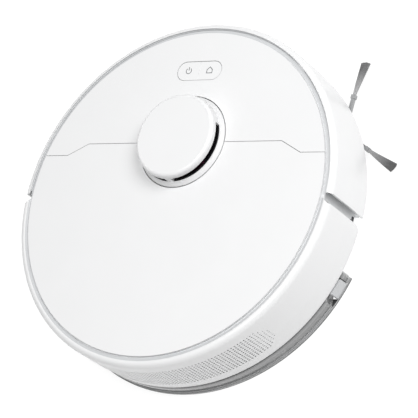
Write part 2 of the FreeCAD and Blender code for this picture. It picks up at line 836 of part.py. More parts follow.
def make_dust_box():
    outside = slab("dust_box_block", ("-box_half_x", "box_half_x"), ("box_rear_y", "box_front_y"),
                   ("box_bottom", "box_top"))
    inside = slab("dust_box_hollow", ("-box_half_x + box_wall", "box_half_x - box_wall"),
                  ("box_rear_y - 1", "box_front_y - box_wall"),
                  ("box_bottom + box_wall", "box_top - box_wall"))
    shell = cut("dust_box_shell", outside, inside)
    pocket_skin = slab("handle_pocket_skin", (-47, 47), (-73, -39), (66, "box_top"))
    pocket = slab("handle_pocket", (-45, 45), (-71, -41), (68, 80))
    inlet = slab("box_inlet", (-32, 32), (-30, -20), (31, 42.5))
    solid = fuse("dust_box_solid", shell, pocket_skin)
    node("dust_box", cut("dust_box", solid, pocket, inlet))

    frame = slab("door_frame", ("-box_half_x", "box_half_x"), (-96.4, "box_rear_y - 0.1"),
                 ("box_bottom", "box_top"))
    window = slab("door_window", (-51, 51), (-100, -90), (34, 63))
    node("dust_box_door", cut("dust_box_door", frame, window))

    filter_block = slab("filter_block", (-56, 56), ("box_rear_y - 0.1", -80), (30, 67))
    filter_hole = slab("filter_hole", (-52, 52), (-95, -79), (34, 63))
    node("filter_frame", cut("filter_frame", filter_block, filter_hole))
    pleat_count = 17
    pleat_pitch = 6
    pleats = [
        slab(f"pleat_{i}", (pleat_pitch * (i - 8) - 1.2, pleat_pitch * (i - 8) + 1.2),
             (-90.6, -81), (34.2, 62.8))
        for i in range(pleat_count)
    ]
    backing = slab("pleat_backing", (-51.8, 51.8), (-91, -90), (34.2, 62.8))
    node("filter_pleats", fuse("filter_pleats", backing, *pleats))

    bar = slab("handle_bar", (-36, 36), (-68, -61), (70, 73.2))
    arms = [
        slab(f"handle_arm_{side}", sorted((30.0 * sign, 37.0 * sign)), (-68, -43.5), (70, 73.2))
        for side, sign in SIDES.items()
    ]
    ears = [
        cylinder(f"handle_ear_{side}", 1.5, 9, (40.5 * sign - 4.5, -45.5, 71.6), "x")
        for side, sign in SIDES.items()
    ]
    node("dust_box_handle", fuse("dust_box_handle", bar, *arms, *ears))

    flap = slab("flap_plate", (-34, 34), (-27.5, -26.1), (29.4, 44.5))
    barrel = cylinder("flap_barrel", 0.8, 72, (-36, -26.8, 44.6), "x")
    node("inlet_flap", fuse("inlet_flap", flap, barrel))


def make_fan():
    centre = (0, "fan_y")
    shell = lathe("fan_shell", [
        (0, "rear_floor_top"),
        (31, "rear_floor_top"),
        (31, 62),
        (14, 62),
        (14, 60),
        (29, 60),
        (29, "rear_floor_top + 2.5"),
        (15, "rear_floor_top + 2.5"),
        (15, 37),
        ("fan_shaft_radius", 37),
        ("fan_shaft_radius", 54),
        (0, 54),
    ], centre)
    outlet = slab("fan_outlet", (-13, 13), (-170, -150), (40, 57))
    node("fan_housing", cut("fan_housing", shell, outlet))

    hub = lathe("impeller_hub", [
        ("fan_shaft_radius + run", 39),
        (26, 39),
        (26, 41),
        (9, 44),
        (7, 53),
        ("fan_shaft_radius + run", 53),
    ], centre)
    blade = slab("impeller_blade", (8, 25.5), ("fan_y - 0.6", "fan_y + 0.6"), (40, 51))
    blade_count = 11
    blades = [turned(f"impeller_blade_{i}", blade, 360 * i / blade_count, centre)
              for i in range(blade_count)]
    rim = tube("impeller_rim", 26, 24.5, 49.5, 51, centre)
    core = disc("impeller_bore", "fan_shaft_radius + run", 30, 60, centre)
    solid = fuse("impeller_solid", hub, rim, *blades)
    node("fan_impeller", cut("fan_impeller", solid, core))


# ---------------------------------------------------------------- electronics

def make_electronics():
    node("battery_pack", slab("battery_pack", (-66, 66), (64, 110), (14, 43.5)))

    board = slab("main_board_plate", (-88, -24), (66, 108), (50, 51.6))
    stands = [disc(f"board_stand_{i}", 3, 43.5, 51, (x, 87)) for i, x in enumerate((-60, -32))]
    chips = [
        slab("processor", (-70, -52), (76, 94), (51, 53.6)),
        slab("connector", (-46, -28), (98, 104), (51, 57)),
        slab("coil", (-44, -32), (72, 84), (51, 56)),
    ]
    node("main_board", fuse("main_board", board, *stands, *chips))

    node("speaker", fuse(
        "speaker",
        disc("speaker_magnet", 11, 14, 20, (-108, 82)),
        disc("speaker_basket", 18, 19, 24, (-108, 82)),
    ))

    sensors = [
        slab(f"cliff_sensor_{i}", (x - 7, x + 7), (y - 4, y + 4), (9.8, "floor_bottom"))
        for i, (x, y) in enumerate(((74, 134), (-74, 134), (146, 8), (-146, 8)))
    ]
    node("cliff_sensors", group("cliff_sensors", *sensors))

    contacts = [
        slab(f"charging_contact_{side}", sorted((27.0 * sign, 49.0 * sign)), (135, 145),
             (10, "floor_bottom"))
        for side, sign in SIDES.items()
    ]
    node("charging_contacts", group("charging_contacts", *contacts))

    heads = []
    for end, floor in (("front", "floor_bottom"), ("rear", "rear_floor_bottom")):
        for i, (x, y) in enumerate(POST_PLACES[end]):
            heads.append(disc(f"screw_head_{end}_{i}", 3, f"{floor} - 1", floor, (x, y)))
    node("underside_screws", group("underside_screws", *heads))


# ---------------------------------------------------------------- main brush

def make_main_brush():
    bar = cylinder("roller_bar", 8.5, "brush_right - brush_left", ("brush_left", "brush_y", "brush_z"), "x")
    stub = cylinder("roller_stub", "brush_stub_radius", 5, ("brush_right - 0.5", "brush_y", "brush_z"), "x")
    drive = cylinder("roller_drive", "brush_drive_radius", 9,
                     ("brush_left - 8.5", "brush_y", "brush_z"), "x")
    node("main_brush_roller", fuse("main_brush_roller", bar, stub, drive))

    blade_count = 6
    blade = slab("brush_blade", ("brush_left + 2", "brush_right - 2"), (-1.1, 1.1), (8.2, "brush_radius"))
    blades = []
    for i in range(blade_count):
        copy = doc.addObject("Part::Compound", f"brush_blade_{i}")
        copy.Links = [blade]
        copy.Placement.Rotation = FreeCAD.Rotation(FreeCAD.Vector(1, 0, 0), 360 * i / blade_count)
        place(copy, (0, "brush_y", "brush_z"))
        blades.append(copy)
    core = cylinder("blade_core", 8.5, "far", ("-far / 2", "brush_y", "brush_z"), "x")
    node("main_brush_blades", cut("main_brush_blades", group("blade_group", *blades), core))

    outside = slab("brush_housing_block", (-78.5, 85.5), (-13, 39), ("floor_top", 45.5))
    inside = slab("brush_housing_hollow", (-77, 84), (-11.5, 37.5), (0, 44))
    duct = slab("duct_block", (-37, 37), ("bay_front_y + bay_wall", -12.5), (28.5, 45))
    duct_hollow = slab("duct_hollow", ("-inlet_half_x", "inlet_half_x"), (-25, -10),
                       ("inlet_bottom", "inlet_top"))
    bearing = slab("bearing_block", (81, 84.5), (6, 20), (14.4, 30))
    bearing_bore = cylinder("bearing_bore", "brush_stub_radius + run", 10, (78, "brush_y", "brush_z"), "x")
    drive_hole = cylinder("drive_hole", 5.5, 5, (-80, "brush_y", "brush_z"), "x")
    trough = cut("brush_trough", outside, inside)
    solid = fuse("brush_housing_solid", trough, duct, bearing)
    node("brush_housing", cut("brush_housing", solid, duct_hollow, bearing_bore, drive_hole))

    gearbox = slab("gearbox_block", (-86.9, -78.7), (4, 62), (14.5, 41))
    socket = cylinder("gearbox_socket", "brush_drive_radius + run", 6, (-84.5, "brush_y", "brush_z"), "x")
    motor = cylinder("brush_motor_can", 11, 42, (-79, 51, 28), "x")
    node("brush_gear_motor", cut("brush_gear_motor", fuse("gear_motor_solid", gearbox, motor), socket))

    guard = slab("guard_plate", (-80, 86.5), (-15, 41), (7.6, "floor_bottom - 0.1"))
    mouth = slab("guard_mouth", (-74.5, 78.5), (-9, 35), (0, 20))
    fingers = []
    finger_count = 6
    finger_pitch = 24
    for i in range(finger_count):
        x = -57 + finger_pitch * i
        fingers.append(slab(f"guard_finger_{i}", (x - 1.2, x + 1.2), (30, 36), (7.6, 9.2)))
    frame = cut("guard_frame", guard, mouth)
    clips = [slab(f"guard_clip_{i}", (x - 7, x + 7), (41, 45), (8.4, "floor_bottom - 0.1"))
             for i, x in enumerate((-52, 58))]
    node("brush_guard", fuse("brush_guard", frame, *fingers, *clips))


# ---------------------------------------------------------------- side brush

ARM_ANGLES = (86.4, -33.6, 206.4)
ROOT_RADIUS = 37
TIP_RADIUS = 70.5
DROOP = 7.5


def make_side_brush():
    centre = ("side_brush_x", "side_brush_y")
    hub = lathe("side_hub_round", [
        (0, 5),
        (8.5, 5),
        (10.5, 6.5),
        (10.5, 10.5),
        (0, 10.5),
    ], centre)
    shaft = disc("side_shaft", 2.5, 10, 22, centre)
    middle = FreeCAD.Vector(measure(centre[0]), measure(centre[1]), 0)
    arms = []
    fans = []
    for i, angle in enumerate(ARM_ANGLES):
        arm = slab(f"side_arm_{i}", (8, ROOT_RADIUS), (-1.6, 1.6), (5.6, 9))
        tip = slab(f"side_arm_tip_{i}", (ROOT_RADIUS - 4, ROOT_RADIUS), (-2.3, 2.3), (5, 9.4))
        turn = FreeCAD.Placement(middle, FreeCAD.Rotation(angle, 0, 0))
        both = fuse(f"side_arm_pair_{i}", arm, tip)
        both.Placement = turn
        arms.append(both)
        fan = prism(f"side_fan_{i}", [
            (ROOT_RADIUS + 0.1, -1.3),
            (TIP_RADIUS, -5),
            (TIP_RADIUS, 5, 20, 1),
            (ROOT_RADIUS + 0.1, 1.3),
        ], 0, 1.8)
        droop = math.radians(DROOP)
        lean = FreeCAD.Placement(
            FreeCAD.Vector(ROOT_RADIUS * (1 - math.cos(droop)), 0, 6.6 + ROOT_RADIUS * math.sin(droop)),
            FreeCAD.Rotation(0, DROOP, 0))
        fan.Placement = turn.multiply(lean)
        fans.append(fan)
    screw_hole = disc("side_screw_hole", 3.3, 0, 6.5, centre)
    solid = fuse("side_hub_solid", hub, shaft, *arms)
    node("side_brush_hub", cut("side_brush_hub", solid, screw_hole))
    node("side_brush_bristles", group("side_brush_bristles", *fans))
    node("side_brush_screw", disc("side_brush_screw", 3.1, 4.6, 6.4, centre))

    boss = disc("side_motor_boss", 6.4, "floor_bottom + 0.3", 24, centre)
    gears = disc("side_motor_gears", 13, 16, 34, (119.5, 84.5))
    can = disc("side_motor_can", 10, 33, 52, (119.5, 84.5))
    bore = disc("side_motor_bore", "2.5 + run", 5, 23, centre)
    node("side_brush_motor", cut("side_brush_motor", fuse("side_motor_solid", boss, gears, can), bore))


# ---------------------------------------------------------------- wheels

def make_wheel(side, sign):
    """One driven wheel on its gearbox arm; the arm swings down about a pivot ahead of the wheel."""
    axle_z = "wheel_radius"
    inner_face = f"wheel_x - tyre_width / 2"

    arm_body = fuse(
        f"arm_solid_{side}",
        cylinder(f"arm_gear_{side}", 16, 15.5, (91.5, 0, axle_z), "x"),
        cylinder(f"arm_boss_{side}", 9, 15.5, (91.5, "pivot_y", axle_z), "x"),
        slab(f"arm_bridge_{side}", (91.5, 107), (0, "pivot_y"), ("wheel_radius - 9", "wheel_radius + 9")),
        cylinder(f"arm_axle_{side}", "axle_radius", 16, (106, 0, axle_z), "x"),
    )
    pivot_hole = cylinder(f"arm_pivot_hole_{side}", "pivot_radius + run", 20,
                          (90, "pivot_y", axle_z), "x")
    arm = cut(f"arm_{side}", arm_body, pivot_hole)

    hub_disc = cylinder(f"hub_disc_{side}", "tyre_inner", "tyre_width - 2",
                        (f"{inner_face} + 1", 0, axle_z), "x")
    hollow = cut(
        f"hub_hollow_{side}",
        cylinder(f"hub_hollow_outer_{side}", 23, 10, (f"{inner_face} + 9", 0, axle_z), "x"),
        cylinder(f"hub_boss_{side}", 8, 12, (f"{inner_face} + 8", 0, axle_z), "x"),
    )
    bore = cylinder(f"hub_bore_{side}", "axle_radius + run", 14.6, (108, 0, axle_z), "x")
    spokes = []
    spoke_count = 6
    for i in range(spoke_count):
        turn = 2 * math.pi * i / spoke_count
        spokes.append(cylinder(f"hub_hole_{side}_{i}", 4, 20,
                               ("wheel_x - 10", 15.5 * math.cos(turn),
                                f"wheel_radius + {15.5 * math.sin(turn):.4f}"), "x"))
    hub = cut(f"hub_{side}", hub_disc, hollow, bore, *spokes)

    band = cut(
        f"tyre_band_{side}",
        cylinder(f"tyre_outer_{side}", "wheel_radius", "tyre_width", (inner_face, 0, axle_z), "x"),
        cylinder(f"tyre_hole_{side}", "tyre_inner", 30, ("wheel_x - 15", 0, axle_z), "x"),
    )
    groove_count = 28
    grooves = []
    for i in range(groove_count):
        groove = slab(f"tread_{side}_{i}", (-10, 10), (-1.2, 1.2), ("wheel_radius - 1.8", "wheel_radius + 5"))
        groove.Placement.Rotation = FreeCAD.Rotation(
            FreeCAD.Vector(1, 0, 0), 360 * (i + 0.5) / groove_count)
        grooves.append(groove)
    for i, groove in enumerate(grooves):
        turn = math.radians(360 * (i + 0.5) / groove_count)
        depth = measure("wheel_radius") - 1.8
        start = FreeCAD.Vector(-10, -1.2, depth)
        moved = groove.Placement.Rotation.multVec(start)
        place(groove, (f"wheel_x - 10", f"{moved.y:.4f}", f"wheel_radius + {moved.z:.4f}"))
    tyre = cut(f"tyre_solid_{side}", band, *grooves)

    for label, piece in ((f"wheel_arm_{side}", arm), (f"wheel_hub_{side}", hub), (f"tyre_{side}", tyre)):
        node(label, piece if sign > 0 else mirrored(f"{label}_mirrored", piece))


def make_wheel_housings():
    """A box over each wheel, open below, with the arm's pivot pin across it."""
    outside = slab("wheel_box_outside", (87.5, 130.5), (-40, 54), ("floor_top", 68.5))
    inside = slab("wheel_box_inside", (89, 129), (-38.5, 52.5), (0, 67))
    shell = cut("wheel_box", outside, inside)
    pin = cylinder("wheel_pivot_pin", "pivot_radius", 41, (88.5, "pivot_y", "wheel_radius"), "x")
    right = fuse("wheel_housing_right", shell, pin)
    left = mirrored("wheel_housing_left", right)
    return node("wheel_housings", group("wheel_housings", right, left))


def make_caster():
    centre = (0, "caster_y")
    axle_y = "caster_y - caster_trail"
    axle_z = "caster_wheel_radius"
    dome = disc("caster_dome", "caster_well_radius - 0.6", 14.5, 33, centre)
    stem = disc("caster_stem", "caster_stem_radius", 32, 46, centre)
    lugs = [
        slab(f"caster_lug_{side}", sorted((5.8 * sign, 9.5 * sign)), (f"{axle_y} - 5.5", f"{axle_y} + 6"),
             (8, 16))
        for side, sign in SIDES.items()
    ]
    slot = slab("caster_slot", (-5.8, 5.8), ("caster_y - 20", "caster_y + 12"), (0, 28.5))
    hole = cylinder("caster_axle_hole", "caster_axle_radius + run", 30, (-15, axle_y, axle_z), "x")
    solid = cut("caster_dome_slotted", dome, slot)
    node("caster_fork", cut("caster_fork", fuse("caster_fork_solid", solid, stem, *lugs), hole))

    wheel = cylinder("caster_roller", "caster_wheel_radius", 10, (-5, axle_y, axle_z), "x")
    axle = cylinder("caster_axle", "caster_axle_radius", 18.6, (-9.3, axle_y, axle_z), "x")
    node("caster_wheel", fuse("caster_wheel", wheel, axle))


# ---------------------------------------------------------------- mop module

def make_mop_module():
    """Water tank with side clips, under the raised rear floor, and the pad on its plate."""
    behind = everything("behind_step", y=("-far", "tank_front_y"))
    outside = common("tank_outside", disc("tank_disc", "tank_radius", "tank_bottom", "tank_top"), behind)
    room = common(
        "tank_room",
        disc("tank_room_disc", "tank_radius - tank_wall", "pad_recess_top + 1.4", "tank_top - tank_wall"),
        everything("tank_room_block", y=("-far", "tank_front_y - tank_wall")),
    )
    pad_recess = common(
        "pad_recess",
        disc("pad_recess_disc", 161.5, 0, "pad_recess_top"),
        everything("pad_recess_block", y=("-far", -67)),
    )
    pocket_walls = []
    pockets = []
    for side, sign in SIDES.items():
        walls = ("latch_inner_x - 5.6", "far") if sign > 0 else ("-far", "-latch_inner_x + 5.6")
        space = ("latch_inner_x - 4", "far") if sign > 0 else ("-far", "-latch_inner_x + 4")
        pocket_walls.append(everything(
            f"pocket_wall_{side}", x=walls,
            y=("latch_y - latch_length / 2 - finger_room - 1.6", "latch_y + latch_length / 2 + 2")))
        pockets.append(everything(
            f"pocket_{side}", x=space,
            y=("latch_y - latch_length / 2 - finger_room", "latch_y + latch_length / 2 + 0.4"),
            z=(0, "tank_top - 1")))
    water_room = cut("water_room", room, *pocket_walls)
    mouth = disc("fill_mouth", 8, 10, 20, (60, -90))
    seat = disc("plug_seat", 10.2, "tank_top - 1.3", 20, (60, -90))
    boss = disc("plug_boss", 12, "tank_top - 3.4", "tank_top - 1", (60, -90))
    hollow = cut("tank_hollow", outside, water_room, pad_recess, *pockets)
    node("tank_body", cut("tank_body", fuse("tank_with_boss", hollow, boss), mouth, seat))

    node("tank_plug", fuse(
        "tank_plug",
        disc("plug_cap", 10.1, "tank_top - 1.3", "tank_top + 0.1", (60, -90)),
        disc("plug_stem", 7.9, "tank_top - 3.2", "tank_top - 1", (60, -90)),
    ))

    for side, sign in SIDES.items():
        span = ("latch_inner_x", "far") if sign > 0 else ("-far", "-latch_inner_x")
        block = everything(f"latch_block_{side}", x=span,
                           y=("latch_y - latch_length / 2", "latch_y + latch_length / 2"),
                           z=("tank_bottom - 1.2", "tank_top - 1.4"))
        rim = disc(f"latch_rim_{side}", "tank_radius + 0.5", 0, 20)
        node(f"tank_latch_{side}", common(f"tank_latch_{side}", block, rim))

    for label, radius, edge, bottom, top in (
            ("mop_plate", 160, -69, 4.4, "pad_recess_top"), ("mop_pad", 160.5, -68.5, 0, 4.4)):
        node(label, common(label, disc(label + "_disc", radius, bottom, top),
                           everything(label + "_block", y=("-far", edge))))


# ---------------------------------------------------------------- build and write

make_chassis()
make_rear_shell()
make_bumper()
make_dock_sensor_window()
make_bumper_springs()
make_bumper_switches()
make_inner_deck()
make_front_cover()
make_dust_lid()
make_lid_hinge_pins()
make_button("power_button", -1)
make_button("home_button", 1)
make_button_board()
make_turret()
make_lidar()
make_lidar_belt()
make_dust_box()
make_fan()
make_electronics()
make_main_brush()
make_side_brush()
for wheel_side, wheel_sign in SIDES.items():
    make_wheel(wheel_side, wheel_sign)
make_wheel_housings()
make_caster()
make_mop_module()

doc.recompute()

for obj in doc.Objects:
    if "Invalid" in obj.State or "Error" in obj.State:
        raise RuntimeError(f"{obj.Name} is {obj.State}")

os.makedirs("parts", exist_ok=True)
for obj in nodes:
    if obj.Shape.isNull() or not obj.Shape.isValid():
        raise RuntimeError(f"{obj.Label} has no valid shape")
for obj in nodes:
    obj.Shape.exportStep(f"parts/{obj.Label}.step")
    print(f"{obj.Label}: {len(obj.Shape.Solids)} solids, {obj.Shape.Volume / 1000:.1f} cm3")
print(f"{len(nodes)} nodes")
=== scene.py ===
"""Looks of a round robot vacuum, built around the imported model.  Lengths are in metres."""
import json
import math
import random

import bmesh
import bpy
from mathutils import Matrix, Vector


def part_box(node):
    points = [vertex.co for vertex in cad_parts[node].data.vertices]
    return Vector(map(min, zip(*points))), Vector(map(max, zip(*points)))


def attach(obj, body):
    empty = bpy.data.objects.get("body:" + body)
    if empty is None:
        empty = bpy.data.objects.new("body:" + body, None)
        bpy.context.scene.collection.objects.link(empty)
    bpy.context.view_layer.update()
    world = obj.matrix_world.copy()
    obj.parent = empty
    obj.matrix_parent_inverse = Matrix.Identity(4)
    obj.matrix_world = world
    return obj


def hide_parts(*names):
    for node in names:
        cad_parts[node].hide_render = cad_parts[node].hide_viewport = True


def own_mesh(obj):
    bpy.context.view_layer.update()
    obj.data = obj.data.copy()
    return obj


MM = 0.001

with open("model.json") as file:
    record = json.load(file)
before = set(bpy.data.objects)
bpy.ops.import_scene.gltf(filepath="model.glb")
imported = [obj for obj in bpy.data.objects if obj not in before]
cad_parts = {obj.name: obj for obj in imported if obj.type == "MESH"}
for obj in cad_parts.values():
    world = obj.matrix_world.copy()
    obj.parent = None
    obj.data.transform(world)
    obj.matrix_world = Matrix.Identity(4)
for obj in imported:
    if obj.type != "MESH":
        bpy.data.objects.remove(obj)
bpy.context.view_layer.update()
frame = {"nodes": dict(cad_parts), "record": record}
nodes = frame["nodes"]
scene = bpy.context.scene


# ---------------------------------------------------------------- materials

PLASTIC_IOR = 1.5
BRUSH_HUB = (129.0, 91.0, 0.0)
BAND_FOOT = 0.0016
BAND_TOP = 0.0176
BAND_SWAY = 0.0016
BAND_GREYS = ((0.0, 0.05), (0.07, 0.09), (0.12, 0.42), (0.24, 0.46), (0.32, 0.26), (0.62, 0.24),
              (0.72, 0.38), (0.86, 0.30), (0.94, 0.24))


def new_material(name):
    material = bpy.data.materials.new(name)
    material.use_nodes = True
    tree = material.node_tree
    tree.nodes.clear()
    output = tree.nodes.new("ShaderNodeOutputMaterial")
    shader = tree.nodes.new("ShaderNodeBsdfPrincipled")
    tree.links.new(shader.outputs["BSDF"], output.inputs["Surface"])
    return material, tree, shader


def object_coords(tree, stretch=(1, 1, 1)):
    coords = tree.nodes.new("ShaderNodeTexCoord")
    mapping = tree.nodes.new("ShaderNodeMapping")
    mapping.inputs["Scale"].default_value = stretch
    tree.links.new(coords.outputs["Object"], mapping.inputs["Vector"])
    return mapping.outputs["Vector"]


def noise(tree, vector, scale, detail=3.0, rough=0.55):
    node = tree.nodes.new("ShaderNodeTexNoise")
    node.inputs["Scale"].default_value = scale
    node.inputs["Detail"].default_value = detail
    node.inputs["Roughness"].default_value = rough
    tree.links.new(vector, node.inputs["Vector"])
    return node.outputs["Fac"]


def ramp(tree, factor, low, high, start=0.3, end=0.7):
    """Colours from low to high as the factor rises."""
    node = tree.nodes.new("ShaderNodeValToRGB")
    node.color_ramp.elements[0].position = start
    node.color_ramp.elements[0].color = (*low, 1)
    node.color_ramp.elements[1].position = end
    node.color_ramp.elements[1].color = (*high, 1)
    tree.links.new(factor, node.inputs["Fac"])
    return node.outputs["Color"]


def spread(tree, factor, low, high):
    """A number that runs from low to high over the middle half of the factor."""
    node = tree.nodes.new("ShaderNodeMapRange")
    node.inputs["From Min"].default_value = 0.25
    node.inputs["From Max"].default_value = 0.75
    node.inputs["To Min"].default_value = low
    node.inputs["To Max"].default_value = high
    tree.links.new(factor, node.inputs["Value"])
    return node.outputs["Result"]


def add_bump(tree, shader, height, strength, distance):
    bump = tree.nodes.new("ShaderNodeBump")
    bump.inputs["Strength"].default_value = strength
    bump.inputs["Distance"].default_value = distance
    tree.links.new(height, bump.inputs["Height"])
    tree.links.new(bump.outputs["Normal"], shader.inputs["Normal"])


def shade(color, factor):
    return tuple(min(1.0, c * factor) for c in color)


def moulded(name, color, rough=0.4, grain=2600, relief=0.05, vary=0.03, coat=0.0, metallic=0.0,
            stretch=(1, 1, 1), transmission=0.0):
    """Plastic, rubber or metal with a fine moulded grain, slight colour drift and uneven gloss."""
    material, tree, shader = new_material(name)
    vector = object_coords(tree, stretch)
    drift = noise(tree, vector, 22, 2.0)
    fine = noise(tree, vector, grain, 2.0, 0.6)
    tree.links.new(ramp(tree, drift, shade(color, 1 - vary), shade(color, 1 + vary)),
                   shader.inputs["Base Color"])
    smudge = noise(tree, vector, 60, 4.0)
    tree.links.new(spread(tree, smudge, rough * 0.88, min(1.0, rough * 1.12)),
                   shader.inputs["Roughness"])
    add_bump(tree, shader, fine, relief, 0.0002)
    shader.inputs["Metallic"].default_value = metallic
    shader.inputs["IOR"].default_value = PLASTIC_IOR
    shader.inputs["Coat Weight"].default_value = coat
    shader.inputs["Coat Roughness"].default_value = 0.12
    shader.inputs["Transmission Weight"].default_value = transmission
    return material


def cloth(name, color, loop=900, relief=0.8):
    """Looped or woven cloth: small soft cells over a slow colour drift."""
    material, tree, shader = new_material(name)
    vector = object_coords(tree)
    cells = tree.nodes.new("ShaderNodeTexVoronoi")
    cells.feature = "SMOOTH_F1"
    cells.inputs["Scale"].default_value = loop
    tree.links.new(vector, cells.inputs["Vector"])
    drift = noise(tree, vector, 40, 3.0)
    tree.links.new(ramp(tree, drift, shade(color, 0.86), shade(color, 1.05)),
                   shader.inputs["Base Color"])
    add_bump(tree, shader, cells.outputs["Distance"], relief, 0.0008)
    shader.inputs["Roughness"].default_value = 0.95
    shader.inputs["Sheen Weight"].default_value = 0.35
    return material


def circuit(name, color):
    """Solder mask with a faint square pattern of tracks under it."""
    material, tree, shader = new_material(name)
    vector = object_coords(tree)
    tracks = tree.nodes.new("ShaderNodeTexBrick")
    tracks.inputs["Scale"].default_value = 220
    tracks.inputs["Color1"].default_value = (*color, 1)
    tracks.inputs["Color2"].default_value = (*shade(color, 1.35), 1)
    tracks.inputs["Mortar"].default_value = (*shade(color, 1.9), 1)
    tracks.inputs["Mortar Size"].default_value = 0.03
    tree.links.new(vector, tracks.inputs["Vector"])
    tree.links.new(tracks.outputs["Color"], shader.inputs["Base Color"])
    add_bump(tree, shader, tracks.outputs["Fac"], 0.25, 0.0001)
    shader.inputs["Roughness"].default_value = 0.35
    return material


def smoky_tank(name):
    """Clear grey plastic, with level bands of grey by height that sway a little."""
    material, tree, shader = new_material(name)
    vector = object_coords(tree)
    split = tree.nodes.new("ShaderNodeSeparateXYZ")
    tree.links.new(vector, split.inputs["Vector"])
    drift = noise(tree, object_coords(tree, (1, 1, 6)), 34, 3.0)
    sway = tree.nodes.new("ShaderNodeMath")
    sway.operation = "MULTIPLY_ADD"
    sway.inputs[1].default_value = BAND_SWAY
    tree.links.new(drift, sway.inputs[0])
    tree.links.new(split.outputs["Z"], sway.inputs[2])
    level = tree.nodes.new("ShaderNodeMapRange")
    level.inputs["From Min"].default_value = BAND_FOOT
    level.inputs["From Max"].default_value = BAND_TOP
    tree.links.new(sway.outputs["Value"], level.inputs["Value"])
    bands = tree.nodes.new("ShaderNodeValToRGB")
    points = bands.color_ramp.elements
    for position, _ in BAND_GREYS[2:]:
        points.new(position)
    for point, (position, grey) in zip(points, BAND_GREYS):
        point.position = position
        point.color = (grey, grey * 1.01, grey * 1.02, 1)
    tree.links.new(level.outputs["Result"], bands.inputs["Fac"])
    tree.links.new(bands.outputs["Color"], shader.inputs["Base Color"])
    add_bump(tree, shader, noise(tree, vector, 1800, 2.0), 0.03, 0.0002)
    shader.inputs["Roughness"].default_value = 0.16
    shader.inputs["Coat Weight"].default_value = 0.6
    shader.inputs["Coat Roughness"].default_value = 0.08
    shader.inputs["Transmission Weight"].default_value = 0.15
    return material


def nylon(name):
    """Grey filament: paler where the tuft is gripped, darker towards the splayed tips."""
    material, tree, shader = new_material(name)
    coords = tree.nodes.new("ShaderNodeTexCoord")
    shift = tree.nodes.new("ShaderNodeVectorMath")
    shift.operation = "SUBTRACT"
    shift.inputs[1].default_value = tuple(c * MM for c in BRUSH_HUB)
    tree.links.new(coords.outputs["Object"], shift.inputs[0])
    reach = tree.nodes.new("ShaderNodeVectorMath")
    reach.operation = "LENGTH"
    tree.links.new(shift.outputs["Vector"], reach.inputs[0])
    along = tree.nodes.new("ShaderNodeMapRange")
    along.inputs["From Min"].default_value = 0.036
    along.inputs["From Max"].default_value = 0.071
    tree.links.new(reach.outputs["Value"], along.inputs["Value"])
    grip, tips = (0.42, 0.42, 0.425), (0.15, 0.15, 0.152)
    tree.links.new(ramp(tree, along.outputs["Result"], grip, tips, 0.05, 0.8),
                   shader.inputs["Base Color"])
    add_bump(tree, shader, noise(tree, coords.outputs["Object"], 2400, 2.0), 0.1, 0.0001)
    shader.inputs["Roughness"].default_value = 0.42
    return material


WHITE = (0.832, 0.834, 0.838)

materials = {
    "white_shell": moulded("white_shell", WHITE, rough=0.36, relief=0.03, vary=0.006, coat=0.1),
    "grey_moulding": moulded("grey_moulding", (0.72, 0.73, 0.74), rough=0.5, relief=0.12),
    "dark_moulding": moulded("dark_moulding", (0.035, 0.036, 0.038), rough=0.52, relief=0.2, vary=0.12),
    "smoked_plastic": moulded("smoked_plastic", (0.012, 0.012, 0.014), rough=0.12, relief=0.01,
                              vary=0.1, coat=0.5),
    "lens_glass": moulded("lens_glass", (0.06, 0.012, 0.03), rough=0.04, relief=0.0, coat=1.0),
    "tank_plastic": smoky_tank("tank_plastic"),
    "latch_grey": moulded("latch_grey", (0.58, 0.59, 0.60), rough=0.45, relief=0.08),
    "soft_rubber": moulded("soft_rubber", (0.035, 0.035, 0.038), rough=0.68, relief=0.25, vary=0.15),
    "tread_rubber": moulded("tread_rubber", (0.022, 0.022, 0.023), rough=0.8, relief=0.5, vary=0.25,
                            grain=1500),
    "hub_grey": moulded("hub_grey", (0.16, 0.165, 0.17), rough=0.45, relief=0.12, vary=0.06),
    "brush_arm": moulded("brush_arm", (0.36, 0.365, 0.37), rough=0.55, relief=0.15, vary=0.06),
    "bristle": nylon("bristle"),
    "pad_cloth": cloth("pad_cloth", (0.62, 0.62, 0.60)),
    "filter_paper": cloth("filter_paper", (0.85, 0.85, 0.80), loop=1600, relief=0.3),
    "bin_plastic": moulded("bin_plastic", (0.35, 0.37, 0.40), rough=0.14, relief=0.02,
                           transmission=0.7),
    "impeller_plastic": moulded("impeller_plastic", (0.78, 0.78, 0.76), rough=0.45, relief=0.1),
    "steel": moulded("steel", (0.55, 0.55, 0.56), rough=0.28, relief=0.12, vary=0.05, metallic=1.0,
                     stretch=(1, 1, 12)),
    "contact_metal": moulded("contact_metal", (0.78, 0.70, 0.55), rough=0.2, relief=0.05,
                             vary=0.04, metallic=1.0, stretch=(10, 1, 1)),
    "board_green": circuit("board_green", (0.015, 0.10, 0.05)),
    "battery_wrap": moulded("battery_wrap", (0.03, 0.07, 0.20), rough=0.3, relief=0.35, grain=300),
    "speaker_black": moulded("speaker_black", (0.02, 0.02, 0.02), rough=0.6, relief=0.4),
}

for entry in frame["record"]["subparts"]:
    mesh = nodes[entry["node"]].data
    mesh.materials.clear()
    mesh.materials.append(materials[entry["material_slot"]])


